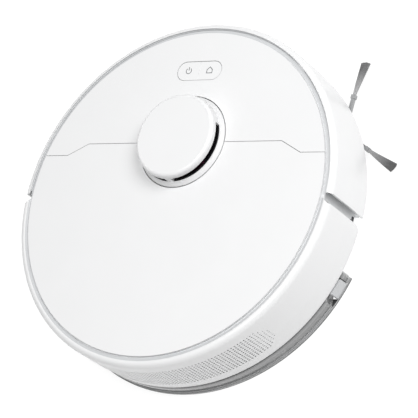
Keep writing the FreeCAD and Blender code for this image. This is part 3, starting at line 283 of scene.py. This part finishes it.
BEVELS = {
    "bumper": 0.35, "front_cover": 0.25, "dust_lid": 0.25, "turret_base": 0.3, "turret_cap": 0.4,
    "power_button": 0.15, "home_button": 0.15, "side_brush_hub": 0.4, "brush_guard": 0.4,
    "tank_latch_right": 1.6, "tank_latch_left": 1.6, "tank_plug": 0.3,
    "mop_plate": 0.4, "caster_fork": 0.4, "caster_wheel": 0.6, "tyre_right": 0.5, "tyre_left": 0.5,
    "wheel_hub_right": 0.3, "wheel_hub_left": 0.3, "dock_sensor_window": 0.2, "chassis": 0.3,
    "battery_pack": 1.0, "underside_screws": 0.3, "cliff_sensors": 0.3, "charging_contacts": 0.4,
}
for label, width in BEVELS.items():
    bevel = nodes[label].modifiers.new("edge", "BEVEL")
    bevel.width = width * MM
    bevel.segments = 3
    bevel.limit_method = "ANGLE"
    bevel.angle_limit = math.radians(40)
    bevel.harden_normals = False


# ---------------------------------------------------------------- mesh helpers

def make_object(name, mesh_build, slot, body, replaced=(), smooth_angle=35):
    mesh = bpy.data.meshes.new(name)
    bmesh.ops.remove_doubles(mesh_build, verts=mesh_build.verts, dist=2e-7)
    bmesh.ops.recalc_face_normals(mesh_build, faces=mesh_build.faces)
    mesh_build.to_mesh(mesh)
    mesh_build.free()
    obj = bpy.data.objects.new(name, mesh)
    scene.collection.objects.link(obj)
    mesh.materials.append(materials[slot])
    mesh.shade_smooth()
    mesh.set_sharp_from_angle(angle=math.radians(smooth_angle))
    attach(obj, body)
    if replaced:
        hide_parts(*replaced)
    return obj


def polar(radius, azimuth, z):
    return Vector((radius * math.cos(azimuth), radius * math.sin(azimuth), z)) * MM


def join_rings(build, rings):
    """Walls between closed rings of equal length, and a cap on the first and the last."""
    count = len(rings[0])
    for a, b in zip(rings, rings[1:]):
        for j in range(count):
            k = (j + 1) % count
            build.faces.new((a[j], b[j], b[k], a[k]))
    build.faces.new(rings[0])
    build.faces.new(list(reversed(rings[-1])))


# ---------------------------------------------------------------- rear shell with its exhaust field

BODY_RADIUS = 175.0
FOOT_RADIUS = 173.8
WALL = 2.2
THIN_WALL = 1.0
RIM_ROUND = 5.5
LIP_TOP = 79.3
LEDGE_TOP = 77.2
CHANNEL_FLOOR = 77.5
LIP_INNER = 165.2
SHELL_BOTTOM = 17.0
SHELL_END_Y = -11.5
TONGUE_END_Y = -4.5
CHASSIS_RADIUS = 166.6
HOLE_ROWS = 11
HOLE_PITCH = 3.3
HOLE_MIDDLE = 46.5
HOLE_RADIUS = 1.02
COLUMN_PITCH = math.radians(1.155)
COLUMNS = 77
SMALLEST_HOLE = 0.55
FADE_COLUMNS = 9
CORNER_ROUND = 7.0
TAPER_TOP = 40
END_STEPS = (0.0, 0.6, 1.6, 3.2, 5.0, 7.0, 10.0)
SIDE_STEPS = 26
RIM_STEPS = 10


def outer_radius(z):
    """The wall leans in a little below the taper's top."""
    if z >= TAPER_TOP:
        return BODY_RADIUS
    return FOOT_RADIUS + (BODY_RADIUS - FOOT_RADIUS) * (z - SHELL_BOTTOM) / (TAPER_TOP - SHELL_BOTTOM)


def hole_heights():
    """Heights at every half pitch over the exhaust field."""
    low = HOLE_MIDDLE - HOLE_PITCH * HOLE_ROWS / 2
    return [low + HOLE_PITCH / 2 * i for i in range(2 * HOLE_ROWS + 1)]


def shell_profile():
    """The wall's closed section as (radius, height), and where its two hole fields start."""
    heights = hole_heights()
    profile = [(CHASSIS_RADIUS, SHELL_BOTTOM), (FOOT_RADIUS - 1.0, SHELL_BOTTOM),
               (FOOT_RADIUS - 0.3, SHELL_BOTTOM + 0.3), (outer_radius(18.2), 18.2),
               (outer_radius(23), 23.0)]
    outer_start = len(profile)
    profile += [(outer_radius(z), z) for z in heights]
    profile.append((BODY_RADIUS, 70.0))
    for i in range(RIM_STEPS + 1):
        angle = math.pi / 2 * i / RIM_STEPS
        profile.append((BODY_RADIUS - RIM_ROUND + RIM_ROUND * math.cos(angle),
                        LIP_TOP - RIM_ROUND + RIM_ROUND * math.sin(angle)))
    inside = BODY_RADIUS - WALL
    thinned = BODY_RADIUS - THIN_WALL
    profile += [(LIP_INNER, CHANNEL_FLOOR), (LIP_INNER, LEDGE_TOP), (inside - 0.9, LEDGE_TOP),
                (inside, LEDGE_TOP - 0.9)]
    profile += [(inside, heights[-1] + 1.5), (thinned, heights[-1] + 0.4)]
    inner_start = len(profile)
    profile += [(thinned, z) for z in reversed(heights)]
    profile += [(thinned, heights[0] - 0.4), (inside, heights[0] - 1.5)]
    profile += [(inside, SHELL_BOTTOM + WALL), (CHASSIS_RADIUS, SHELL_BOTTOM + WALL)]
    return profile, outer_start, inner_start


def end_azimuth(radius):
    """Where the shell stops: straight across the wall, and slanting forward over the lip."""
    part = min(1.0, max(0.0, (radius - LIP_INNER) / (BODY_RADIUS - WALL - LIP_INNER)))
    y = TONGUE_END_Y + (SHELL_END_Y - TONGUE_END_Y) * part
    return math.asin(y / radius)


def build_rear_shell():
    """The rear half of the side wall, with round holes right through its thinned field."""
    profile, outer_start, inner_start = shell_profile()
    field_start = -math.pi / 2 - COLUMN_PITCH * COLUMNS / 2
    field = [field_start + COLUMN_PITCH / 2 * i for i in range(2 * COLUMNS + 1)]
    field_end = field[-1]

    last = end_azimuth(BODY_RADIUS)
    close = [last - d / BODY_RADIUS for d in END_STEPS]
    between = [close[-1] + (field_end - close[-1]) * i / SIDE_STEPS for i in range(1, SIDE_STEPS)]
    right_side = close + between
    left_side = [-math.pi - a for a in right_side]
    azimuths = left_side + field + list(reversed(right_side))
    first_field = len(left_side)
    count = len(azimuths)

    def place_vertex(i, j):
        radius, z = profile[j]
        azimuth = azimuths[i]
        from_end = min(i, count - 1 - i)
        if from_end < len(END_STEPS):
            blend = from_end / (len(END_STEPS) - 1)
            limit = end_azimuth(radius)
            limit = limit if i > count / 2 else -math.pi - limit
            edge = azimuths[-1] if i > count / 2 else azimuths[0]
            azimuth += (limit - edge) * (1 - blend)
            distance = END_STEPS[from_end]
            if distance < CORNER_ROUND and z < TAPER_TOP:
                rise = CORNER_ROUND - math.sqrt(CORNER_ROUND**2 - (CORNER_ROUND - distance)**2)
                z += rise * (TAPER_TOP - z) / (TAPER_TOP - SHELL_BOTTOM)
        return polar(radius, azimuth, z)

    build = bmesh.new()
    grid = [[build.verts.new(place_vertex(i, j)) for j in range(len(profile))] for i in range(count)]

    covered = set()
    height_of = hole_heights()
    half_columns = (COLUMNS - 1) / 2
    for column in range(COLUMNS):
        for row in range(HOLE_ROWS):
            away = abs(column - half_columns)
            side = abs(row - (HOLE_ROWS - 1) / 2)
            if away > half_columns - max(0.0, side - 2.0) * 0.9:
                continue
            fade = min(1.0, (half_columns + 1.5 - away) / FADE_COLUMNS)
            radius = HOLE_RADIUS * (SMALLEST_HOLE + (1 - SMALLEST_HOLE) * fade)
            i = first_field + 2 * column
            j = outer_start + 2 * row
            k = inner_start + 2 * (HOLE_ROWS - 1 - row)
            azimuth = azimuths[i + 1]
            z = height_of[2 * row + 1]
            rings = []
            for base, top, wall_radius in ((j, j + 2, outer_radius(z)),
                                           (k + 2, k, BODY_RADIUS - THIN_WALL)):
                middle = (base + top) // 2
                border = [(i, base), (i + 1, base), (i + 2, base), (i + 2, middle), (i + 2, top),
                          (i + 1, top), (i, top), (i, middle)]
                ring = []
                for step in range(8):
                    angle = math.radians(-135 + 45 * step)
                    ring.append(build.verts.new(polar(
                        wall_radius, azimuth + radius * math.cos(angle) / wall_radius,
                        z + radius * math.sin(angle))))
                for step in range(8):
                    a, b = border[step], border[(step + 1) % 8]
                    build.faces.new((grid[a[0]][a[1]], grid[b[0]][b[1]],
                                     ring[(step + 1) % 8], ring[step]))
                rings.append(ring)
                for u in (i, i + 1):
                    for v in (min(base, top), min(base, top) + 1):
                        covered.add((u, v))
            for step in range(8):
                following = (step + 1) % 8
                build.faces.new((rings[0][step], rings[0][following],
                                 rings[1][following], rings[1][step]))

    loops = len(profile)
    for i in range(count - 1):
        for j in range(loops):
            if (i, j) in covered:
                continue
            k = (j + 1) % loops
            build.faces.new((grid[i][j], grid[i + 1][j], grid[i + 1][k], grid[i][k]))
    build.faces.new(grid[0])
    build.faces.new(list(reversed(grid[-1])))
    loose = [v for v in build.verts if not v.link_faces]
    bmesh.ops.delete(build, geom=loose, context="VERTS")
    make_object("rear_shell_looks", build, "white_shell", "main", ("rear_shell",), 40)


build_rear_shell()


FOAM_SECTION = ((171.2, 26), (173.4, 29), (173.4, 64), (171.2, 66.5))
FOAM_START = -135
FOAM_SWEEP = 90
FOAM_STEPS = 60


def build_exhaust_foam():
    """Dark foam sheet against the inside of the exhaust field."""
    build = bmesh.new()
    spans = []
    for i in range(FOAM_STEPS + 1):
        azimuth = math.radians(FOAM_START + FOAM_SWEEP * i / FOAM_STEPS)
        spans.append([build.verts.new(polar(radius, azimuth, z)) for radius, z in FOAM_SECTION])
    join_rings(build, spans)
    make_object("exhaust_foam", build, "soft_rubber", "main")


build_exhaust_foam()


# ---------------------------------------------------------------- side brush tufts

# Each tuft's angle about the hub, and how far its tips lean.
TUFTS = ((86.4, Vector((0.9, 3.1, 0))), (-33.6, Vector((1.3, 1.6, 0))), (206.4, Vector((0, 0, 0))))
TUFT_ROOT = 36.2
TUFT_TIP = 70.2
ROOT_HALF_WIDTH = 1.25
TIP_HALF_WIDTH = 4.75
ROOT_HEIGHT = 6.6
ROOT_LAYER_RISE = 0.5
TIP_HEIGHT = 2.5
TIP_LAYER_RISE = 0.42
TUFT_LAYERS = 4
FILAMENTS = 30
FILAMENT_SIDES = 4
FILAMENT_STATIONS = (0.0, 0.35, 0.7, 1.0)
FILAMENT_RADIUS = 0.17
FILAMENT_TAPER = 0.03
FILAMENT_SAG = Vector((0, 0, 0.35))


def add_filament(build, root, tip, turn, lean):
    """One bristle that bulges between its root and tip, and leans more towards the tip."""
    rings = []
    for t in FILAMENT_STATIONS:
        point = root.lerp(tip, t) + FILAMENT_SAG * (4 * t * (1 - t))
        radius = FILAMENT_RADIUS - FILAMENT_TAPER * t
        ring = []
        for s in range(FILAMENT_SIDES):
            a = 2 * math.pi * s / FILAMENT_SIDES
            offset = Vector((0, radius * math.cos(a), radius * math.sin(a)))
            bent = (turn @ (point + offset)) + lean * t**1.5 + Vector(BRUSH_HUB)
            ring.append(build.verts.new(bent * MM))
        rings.append(ring)
    join_rings(build, rings)


def build_bristles():
    """Three splayed tufts of separate filaments."""
    rng = random.Random(7)
    build = bmesh.new()
    for angle, lean in TUFTS:
        turn = Matrix.Rotation(math.radians(angle), 4, "Z")
        for layer in range(TUFT_LAYERS):
            for i in range(FILAMENTS):
                across = (i / (FILAMENTS - 1) - 0.5) * 2
                root = Vector((TUFT_ROOT, across * ROOT_HALF_WIDTH, ROOT_HEIGHT + ROOT_LAYER_RISE * layer))
                reach = TUFT_TIP - 0.9 * across**2 - rng.random() * 0.7
                tip = Vector((reach, across * TIP_HALF_WIDTH + rng.uniform(-0.1, 0.1),
                              TIP_HEIGHT + TIP_LAYER_RISE * layer + rng.uniform(-0.08, 0.08)))
                add_filament(build, root, tip, turn, lean)
    make_object("bristle_tufts", build, "bristle", "side_brush", ("side_brush_bristles",), 60)


build_bristles()


# ---------------------------------------------------------------- bumper springs

SPRING_X = 24.0
SPRING_FOOT_Y = 155.3
SPRING_Z = 62.0
COIL_RADIUS = 4.0
COIL_PITCH = 2.4
COIL_TURNS = 6
COIL_STEPS = 24
WIRE_RADIUS = 0.4
WIRE_SIDES = 8


def build_springs():
    """Two coil springs between the chassis and the bumper; the real ones shorten as the bumper goes in."""
    build = bmesh.new()
    for x in (SPRING_X, -SPRING_X):
        rings = []
        for i in range(COIL_TURNS * COIL_STEPS + 1):
            angle = 2 * math.pi * i / COIL_STEPS
            outward = Vector((math.cos(angle), 0, math.sin(angle)))
            axis_point = Vector((x, SPRING_FOOT_Y + COIL_PITCH * i / COIL_STEPS, SPRING_Z))
            centre = axis_point + outward * COIL_RADIUS
            ring = []
            for s in range(WIRE_SIDES):
                a = 2 * math.pi * s / WIRE_SIDES
                along = Vector((0, WIRE_RADIUS * math.sin(a), 0))
                ring.append(build.verts.new((centre + outward * WIRE_RADIUS * math.cos(a) + along) * MM))
            rings.append(ring)
        join_rings(build, rings)
    springs = make_object("bumper_coils", build, "steel", "main", ("bumper_springs",), 60)
    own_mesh(springs)


build_springs()


# ---------------------------------------------------------------- main brush fins

BRUSH_Y = 13.0
BRUSH_Z = 21.4
FINS = 6
FIN_STEPS = 48
FIN_SWING = 62
FIN_SECTION = ((8.3, 1.5), (11.0, 1.15), (19.2, 0.8), (20.3, 0.55), (20.3, -0.55), (19.2, -0.8),
               (11.0, -1.15), (8.3, -1.5))


def build_brush_fins():
    """Six rubber fins that meet in a V at the middle of the roller."""
    low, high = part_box("main_brush_blades")
    left = low.x / MM
    right = high.x / MM
    build = bmesh.new()
    for fin in range(FINS):
        spans = []
        for i in range(FIN_STEPS + 1):
            t = i / FIN_STEPS
            x = left + (right - left) * t
            swing = math.radians(FIN_SWING) * (1 - abs(2 * t - 1))
            base = 2 * math.pi * fin / FINS + swing
            span = []
            for radius, half in FIN_SECTION:
                angle = base + half / radius
                span.append(build.verts.new(Vector((
                    x, BRUSH_Y + radius * math.cos(angle), BRUSH_Z + radius * math.sin(angle))) * MM))
            spans.append(span)
        join_rings(build, spans)
    make_object("brush_fins", build, "soft_rubber", "main_brush", ("main_brush_blades",))


build_brush_fins()


# ---------------------------------------------------------------- mop module's tank

TANK_RADIUS = 174.0
TANK_FRONT_Y = -51.5
TANK_BOTTOM = 1.5
TANK_TOP = 16.6
TANK_EYE = Vector((0.0, -72.0))
TANK_CORNER = 5.0
POCKET_LOW = -83.45
POCKET_HIGH = -61.15
POCKET_X = 151.0
RECESS_RADIUS = 161.5
RECESS_FRONT_Y = -67.0
RECESS_CORNER = 11.0
RECESS_WALL = 1.2
SIDE_ANGLE = 0.2


def ray_to_outline(direction, radius, front_y, corner):
    """Distance from the eye point to a circle cut off straight at the front, with round corners."""
    along = TANK_EYE.dot(direction)
    distance = -along + math.sqrt(along**2 - TANK_EYE.length_squared + radius**2)
    if direction.y > 1e-6:
        distance = min(distance, (front_y - TANK_EYE.y) / direction.y)
    centre_y = front_y - corner
    centre_x = math.sqrt((radius - corner)**2 - centre_y**2)
    hit = TANK_EYE + direction * distance
    side = 1 if hit.x > 0 else -1
    centre = Vector((centre_x * side, centre_y))
    outward = hit - centre
    if outward.x * side > 0 and outward.y > centre_y / centre_x * outward.x * side:
        offset = TANK_EYE - centre
        along = offset.dot(direction)
        inside = along**2 - offset.length_squared + corner**2
        if inside > 0:
            distance = min(distance, -along + math.sqrt(inside))
    return distance


def tank_directions():
    """Angles around the eye point, closer together where the pockets and corners are."""
    low = math.atan2(POCKET_LOW - TANK_EYE.y, POCKET_X)
    high = math.atan2(POCKET_HIGH - TANK_EYE.y, POCKET_X)
    right = [low - 0.0004, low, high, high + 0.0004]
    right += [low + (high - low) * i / 10 for i in range(1, 10)]
    right += [high + 0.002 + (SIDE_ANGLE - high) * i / 34 for i in range(34)]
    right += [SIDE_ANGLE + (math.pi / 2 - SIDE_ANGLE) * i / 24 for i in range(25)]
    right += [-math.pi / 2 + (low - 0.002 + math.pi / 2) * i / 70 for i in range(71)]
    angles = {round(a, 7) for a in right} | {round(math.pi - a, 7) for a in right}
    ordered = sorted(a % (2 * math.pi) for a in angles)
    kept = []
    for angle in ordered:
        if not kept or angle - kept[-1] > 1e-5:
            kept.append(angle)
    return kept, low, high


def build_tank():
    """D-shaped tank with a pocket for each latch and a recess for the mop plate under it."""
    angles, low, high = tank_directions()
    middle = (low + high) / 2
    half = (high - low) / 2 + 1e-7

    def outer_point(angle, inset):
        direction = Vector((math.cos(angle), math.sin(angle)))
        distance = ray_to_outline(direction, TANK_RADIUS, TANK_FRONT_Y, TANK_CORNER) - inset
        from_side = math.asin(math.sin(angle))
        if abs(from_side - middle) <= half:
            distance = min(distance, POCKET_X / abs(direction.x) - inset * 0.3)
        return TANK_EYE + direction * distance

    def recess_point(angle, outset):
        direction = Vector((math.cos(angle), math.sin(angle)))
        distance = ray_to_outline(direction, RECESS_RADIUS, RECESS_FRONT_Y, RECESS_CORNER) + outset
        limit = (outer_point(angle, 0) - TANK_EYE).length - RECESS_WALL + outset * 0.2
        return TANK_EYE + direction * min(distance, limit)

    sections = [("recess", 0, 6.0), ("recess", 0, TANK_BOTTOM + 0.4), ("recess", 0.4, TANK_BOTTOM),
                ("outer", 0.9, TANK_BOTTOM), ("outer", 0.3, TANK_BOTTOM + 0.15),
                ("outer", 0.05, TANK_BOTTOM + 0.5), ("outer", 0, TANK_BOTTOM + 1.5),
                ("outer", 0, 3.9), ("outer", 0.35, 4.2), ("outer", 0.35, 4.9), ("outer", 0, 5.2),
                ("outer", 0, TANK_TOP - 2.6), ("outer", 0.5, TANK_TOP - 1.2),
                ("outer", 1.3, TANK_TOP - 0.4), ("outer", 2.6, TANK_TOP)]
    build = bmesh.new()
    rings = []
    for kind, inset, z in sections:
        ring = []
        for angle in angles:
            point = recess_point(angle, inset) if kind == "recess" else outer_point(angle, inset)
            ring.append(build.verts.new(Vector((point.x, point.y, z)) * MM))
        rings.append(ring)
    join_rings(build, rings)
    make_object("tank_looks", build, "tank_plastic", "mop_module", ("tank_body",), 50)


build_tank()


# ---------------------------------------------------------------- mop pad

PAD_RADIUS = 160.2
PAD_FRONT_Y = -68.8
PAD_CORNER_STEPS = 8
# (inset, height) from the plate, down over the hem and its stitches, to the crown.
PAD_LEVELS = ((6.0, 4.35), (1.2, 4.3), (0.2, 3.7), (0.0, 2.6), (0.6, 1.5), (2.4, 0.85), (5.0, 0.7),
              (6.2, 1.0), (7.4, 0.6), (10.0, 0.26), (16.0, 0.12), (30.0, 0.08))


def pad_outline(inset, arc_steps=72, edge_steps=40):
    """The D-shaped outline in plan, moved inward by inset, with rounded corners."""
    radius = PAD_RADIUS - inset
    front = PAD_FRONT_Y - inset
    corner = 10 - min(inset, 8)
    inner = radius - corner
    centre_y = front - corner
    centre_x = math.sqrt(inner**2 - centre_y**2)
    turn = math.atan2(centre_y, centre_x)
    points = []
    for i in range(arc_steps + 1):
        a = math.pi - turn + (math.pi + 2 * turn) * i / arc_steps
        points.append((radius * math.cos(a), radius * math.sin(a)))
    for i in range(1, PAD_CORNER_STEPS + 1):
        a = turn + (math.pi / 2 - turn) * i / PAD_CORNER_STEPS
        points.append((centre_x + corner * math.cos(a), centre_y + corner * math.sin(a)))
    for i in range(1, edge_steps):
        points.append((centre_x - 2 * centre_x * i / edge_steps, front))
    for i in range(PAD_CORNER_STEPS):
        a = math.pi / 2 + (math.pi / 2 - turn) * i / PAD_CORNER_STEPS
        points.append((-centre_x + corner * math.cos(a), centre_y + corner * math.sin(a)))
    return points


def build_mop_pad():
    """Cloth pad with a stitched hem: crowned below, flat where it meets its plate."""
    build = bmesh.new()
    rings = []
    for inset, z in PAD_LEVELS:
        rings.append([build.verts.new(Vector((x, y, z)) * MM) for x, y in pad_outline(inset)])
    join_rings(build, rings)
    pad = make_object("mop_pad_cloth", build, "pad_cloth", "mop_module", ("mop_pad",), 60)


build_mop_pad()


# ---------------------------------------------------------------- button icons

def flat_strip(build, outer, inner, z, closed):
    """A thin raised band between two rows of points."""
    thickness = 0.06
    rows = [[build.verts.new(Vector((x, y, h)) * MM) for x, y in line]
            for line, h in ((outer, z), (inner, z), (inner, z - thickness), (outer, z - thickness))]
    count = len(outer)
    last = count if closed else count - 1
    for i in range(last):
        k = (i + 1) % count
        for a, b in zip(rows, rows[1:] + rows[:1]):
            build.faces.new((a[i], a[k], b[k], b[i]))
    if not closed:
        build.faces.new([row[0] for row in rows])
        build.faces.new([row[-1] for row in reversed(rows)])


def arc_points(centre, radius, start, end, steps):
    return [(centre[0] + radius * math.cos(math.radians(start + (end - start) * i / steps)),
             centre[1] + radius * math.sin(math.radians(start + (end - start) * i / steps)))
            for i in range(steps + 1)]


ICON_Y = 124.8
POWER_ICON_X = -12.5
HOME_ICON_X = 11.5
ICON_RADIUS = 3.3
ICON_LINE = 0.75
ICON_RISE = 0.03
HOUSE_OUTER = ((-3.4, -3.2), (3.4, -3.2), (3.4, 0.8), (0.0, 3.9), (-3.4, 0.8))
HOUSE_INNER = ((-2.65, -2.45), (2.65, -2.45), (2.65, 0.45), (0.0, 2.9), (-2.65, 0.45))


def build_icons():
    """A generic power sign and a plain house."""
    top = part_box("power_button")[1].z / MM + ICON_RISE
    centre = (POWER_ICON_X, ICON_Y)
    build = bmesh.new()
    flat_strip(build, arc_points(centre, ICON_RADIUS, 128, 412, 36),
               arc_points(centre, ICON_RADIUS - ICON_LINE, 128, 412, 36), top, False)
    left, right = ([(centre[0] + x, centre[1] + y) for y in (4.1, 0.4)]
                   for x in (-ICON_LINE / 2, ICON_LINE / 2))
    flat_strip(build, left, right, top, False)
    make_object("power_icon", build, "hub_grey", "power_button")

    build = bmesh.new()
    outer, inner = ([(HOME_ICON_X + x, ICON_Y + y) for x, y in line] for line in (HOUSE_OUTER, HOUSE_INNER))
    flat_strip(build, outer, inner, top, True)
    make_object("home_icon", build, "hub_grey", "home_button")


build_icons()


# ---------------------------------------------------------------- small trim

def arc_piece(name, slot, body, radii, heights, start, end, centre_y=0.0, steps=24):
    """A curved bar of rectangular section; angles in degrees about a point on the middle line."""
    build = bmesh.new()
    spans = []
    for i in range(steps + 1):
        angle = math.radians(start + (end - start) * i / steps)
        span = []
        for radius, z in ((radii[0], heights[0]), (radii[1], heights[0]),
                          (radii[1], heights[1]), (radii[0], heights[1])):
            span.append(build.verts.new(Vector((
                radius * math.cos(angle), centre_y + radius * math.sin(angle), z)) * MM))
        spans.append(span)
    join_rings(build, spans)
    make_object(name, build, slot, body)


def rim_height(radius):
    """Height of the rear shell's inward slope."""
    part = (radius - LIP_INNER) / (BODY_RADIUS - RIM_ROUND - LIP_INNER)
    return CHANNEL_FLOOR + (LIP_TOP - CHANNEL_FLOOR) * part


# Painted shade: a grey band over the rear rim's inward slope.
RIM_SHADE_SECTION = ((165.35, 0.01), (168.6, 0.01), (168.6, 0.07), (165.35, 0.07))
RIM_SHADE_STEPS = 150
RIM_SHADE_SHORT = 0.004
BAND_STEPS = 160
# Painted shade: a darker grey band over the grey ledge in the channel between lid and bumper.
LEDGE_SHADE_RADII = (164.7, 168.4)
LEDGE_SHADE_HEIGHTS = (77.21, 77.25)
SEAL_RADII = (168.65, 172.5)
SEAL_HEIGHTS = (77.26, 77.44)

SKIRT_OUTER = 175.2
SKIRT_HEIGHTS = (0.9, 2.9)
# (inner radius, start, end, steps) round the tank; the wall is thinner where the latches stand.
SKIRTS = ((173.4, -150.6, -29.4, 90), (174.62, -29.4, -20.3, 12), (174.62, -159.7, -150.6, 12),
          (173.4, -20.3, -18.4, 12), (173.4, -161.6, -159.7, 12))

FINGER_LOW_Y = -83.3
FINGER_HIGH_Y = -76.3
FINGER_INNER_X = 151.3
FINGER_RADIUS = 173.9
FINGER_STEPS = 6
FINGER_HEIGHTS = (1.6, 2.3)

TURRET_Y = 50.5
SILL_RADII = (40.6, 42.5)
SILL_HEIGHTS = (84.02, 84.3)
SILL_SPANS = ((-85.0, 20.5), (62.5, 117.5), (159.5, 265.0))

GAP_SEAL_RADII = (166.63, 167.2)
GAP_SEAL_HEIGHTS = (20.2, 23.4)
GAP_SEAL_HALF = 1.1

WEB_MIDDLE_Y = 124.5
WEB_LENGTH = 18.6
WEB_DROP = 0.62


def build_rim_shade_band():
    """Grey band laid on the slope between the lid and the bright shoulder of the rim: painted shade of the
    channel round the lid.
    """
    build = bmesh.new()
    spans = []
    for i in range(RIM_SHADE_STEPS + 1):
        span = []
        for radius, lift in RIM_SHADE_SECTION:
            edge = end_azimuth(radius) - RIM_SHADE_SHORT
            angle = -math.pi - edge + (math.pi + 2 * edge) * i / RIM_SHADE_STEPS
            span.append(build.verts.new(polar(radius, angle, rim_height(radius) + lift)))
        spans.append(span)
    join_rings(build, spans)
    make_object("rim_painted_shade", build, "latch_grey", "main")


def build_finger_floors():
    """Dark plate under the finger space behind each latch."""
    for name, sign in (("right", 1), ("left", -1)):
        build = bmesh.new()
        outline = [(FINGER_INNER_X, FINGER_HIGH_Y), (FINGER_INNER_X, FINGER_LOW_Y)]
        for i in range(FINGER_STEPS + 1):
            y = FINGER_LOW_Y + (FINGER_HIGH_Y - FINGER_LOW_Y) * i / FINGER_STEPS
            outline.append((math.sqrt(FINGER_RADIUS**2 - y**2), y))
        rings = [[build.verts.new(Vector((x * sign, y, z)) * MM) for x, y in outline]
                 for z in FINGER_HEIGHTS]
        join_rings(build, rings)
        make_object(f"finger_floor_{name}", build, "dark_moulding", "mop_module")


def build_button_web():
    """Flexible web that closes the slit between the two halves of the button."""
    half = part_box("home_button")[0].x / MM - 0.02
    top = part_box("power_button")[1].z / MM
    build = bmesh.new()
    bmesh.ops.create_cube(build, size=1.0)
    for vert in build.verts:
        vert.co = Vector((vert.co.x * 2 * half, WEB_MIDDLE_Y + vert.co.y * WEB_LENGTH,
                          top - WEB_DROP + vert.co.z)) * MM
    bmesh.ops.bevel(build, geom=build.edges[:], offset=0.03 * MM, segments=2, affect="EDGES")
    make_object("button_web", build, "white_shell", "main")


# Painted shade on the rear rim's slope.
build_rim_shade_band()
# Darker grey band on the channel ledge: the ledge's own grey, darkened further by painted shade of the
# channel.
arc_piece("ledge_painted_shade", "latch_grey", "main", LEDGE_SHADE_RADII, LEDGE_SHADE_HEIGHTS, -1.0, 181.0,
          steps=BAND_STEPS)
arc_piece("bumper_seal", "latch_grey", "bumper", SEAL_RADII, SEAL_HEIGHTS, 0.5, 179.5,
          steps=BAND_STEPS)

for i, (inner, start, end, steps) in enumerate(SKIRTS):
    arc_piece(f"tank_skirt_{i}", "tank_plastic", "mop_module", (inner, SKIRT_OUTER), SKIRT_HEIGHTS,
              start, end, steps=steps)

build_finger_floors()

for i, (start, end) in enumerate(SILL_SPANS):
    arc_piece(f"window_sill_{i}", "smoked_plastic", "main", SILL_RADII, SILL_HEIGHTS,
              start, end, TURRET_Y, 48)

for name, middle in (("right", -2.0), ("left", 182.0)):
    arc_piece(f"gap_seal_{name}", "soft_rubber", "main", GAP_SEAL_RADII, GAP_SEAL_HEIGHTS,
              middle - GAP_SEAL_HALF, middle + GAP_SEAL_HALF, steps=8)

build_button_web()


# ---------------------------------------------------------------- floor, light and camera

FLOOR_HALF = 6.0
FLOOR_GLOW = 0.85
WORLD_STRENGTH = 0.2
IMAGE_WIDTH = 418
SENSOR_WIDTH = 36
CAMERA_TURNS = (60.899, 50.295, 54.047)
CAMERA_DISTANCE = 2320.94
CAMERA_FOCAL = 2444.99
CAMERA_AIM = (18.12, -2.05, 40.0)


def build_floor():
    """Plain pale floor that gives off some light, so that its shadows stay faint."""
    build = bmesh.new()
    corners = [(-FLOOR_HALF, -FLOOR_HALF), (FLOOR_HALF, -FLOOR_HALF), (FLOOR_HALF, FLOOR_HALF),
               (-FLOOR_HALF, FLOOR_HALF)]
    build.faces.new([build.verts.new((x, y, 0)) for x, y in corners])
    mesh = bpy.data.meshes.new("floor")
    build.to_mesh(mesh)
    build.free()
    floor = bpy.data.objects.new("floor", mesh)
    scene.collection.objects.link(floor)
    material, tree, shader = new_material("floor_white")
    vector = object_coords(tree)
    tree.links.new(ramp(tree, noise(tree, vector, 3), (0.245, 0.245, 0.245), (0.255, 0.255, 0.255)),
                   shader.inputs["Base Color"])
    shader.inputs["Emission Color"].default_value = (1, 1, 1, 1)
    shader.inputs["Emission Strength"].default_value = FLOOR_GLOW
    shader.inputs["Roughness"].default_value = 0.9
    shader.inputs["Specular IOR Level"].default_value = 0.1
    mesh.materials.append(material)


def area_light(name, azimuth, elevation, distance, size, power):
    """Round soft light that points at the origin; angles in degrees."""
    data = bpy.data.lights.new(name, "AREA")
    data.shape = "DISK"
    data.size = size
    data.energy = power
    light = bpy.data.objects.new(name, data)
    scene.collection.objects.link(light)
    azimuth, elevation = math.radians(azimuth), math.radians(elevation)
    direction = Vector((math.cos(azimuth) * math.cos(elevation), math.sin(azimuth) * math.cos(elevation),
                        math.sin(elevation)))
    light.location = direction * distance
    light.rotation_euler = direction.to_track_quat("Z", "Y").to_euler()


def build_studio():
    world = bpy.data.worlds.new("studio")
    scene.world = world
    world.use_nodes = True
    background = world.node_tree.nodes["Background"]
    background.inputs["Color"].default_value = (1, 1, 1, 1)
    background.inputs["Strength"].default_value = WORLD_STRENGTH
    area_light("key", 22, 45, 2.6, 1.5, 36)
    area_light("overhead", -40, 82, 2.6, 1.8, 41)
    scene.view_settings.view_transform = "Standard"


def build_camera():
    """Camera as fitted to the photograph: focal length in pixels, lengths in mm."""
    azimuth, elevation, roll = (math.radians(v) for v in CAMERA_TURNS)
    back = Vector((math.sin(azimuth) * math.cos(elevation), -math.cos(azimuth) * math.cos(elevation),
                   math.sin(elevation)))
    right = Vector((math.cos(azimuth), math.sin(azimuth), 0))
    up = back.cross(right)
    turned_right = right * math.cos(roll) - up * math.sin(roll)
    turned_up = right * math.sin(roll) + up * math.cos(roll)
    data = bpy.data.cameras.new("camera")
    data.sensor_width = SENSOR_WIDTH
    data.lens = CAMERA_FOCAL / IMAGE_WIDTH * SENSOR_WIDTH
    data.clip_end = 20
    camera = bpy.data.objects.new("camera", data)
    scene.collection.objects.link(camera)
    rotation = Matrix((turned_right, turned_up, back)).transposed().to_4x4()
    place = (Vector(CAMERA_AIM) + back * CAMERA_DISTANCE) * MM
    camera.matrix_world = Matrix.Translation(place) @ rotation
    scene.camera = camera


build_floor()
build_studio()
build_camera()


bpy.context.view_layer.update()
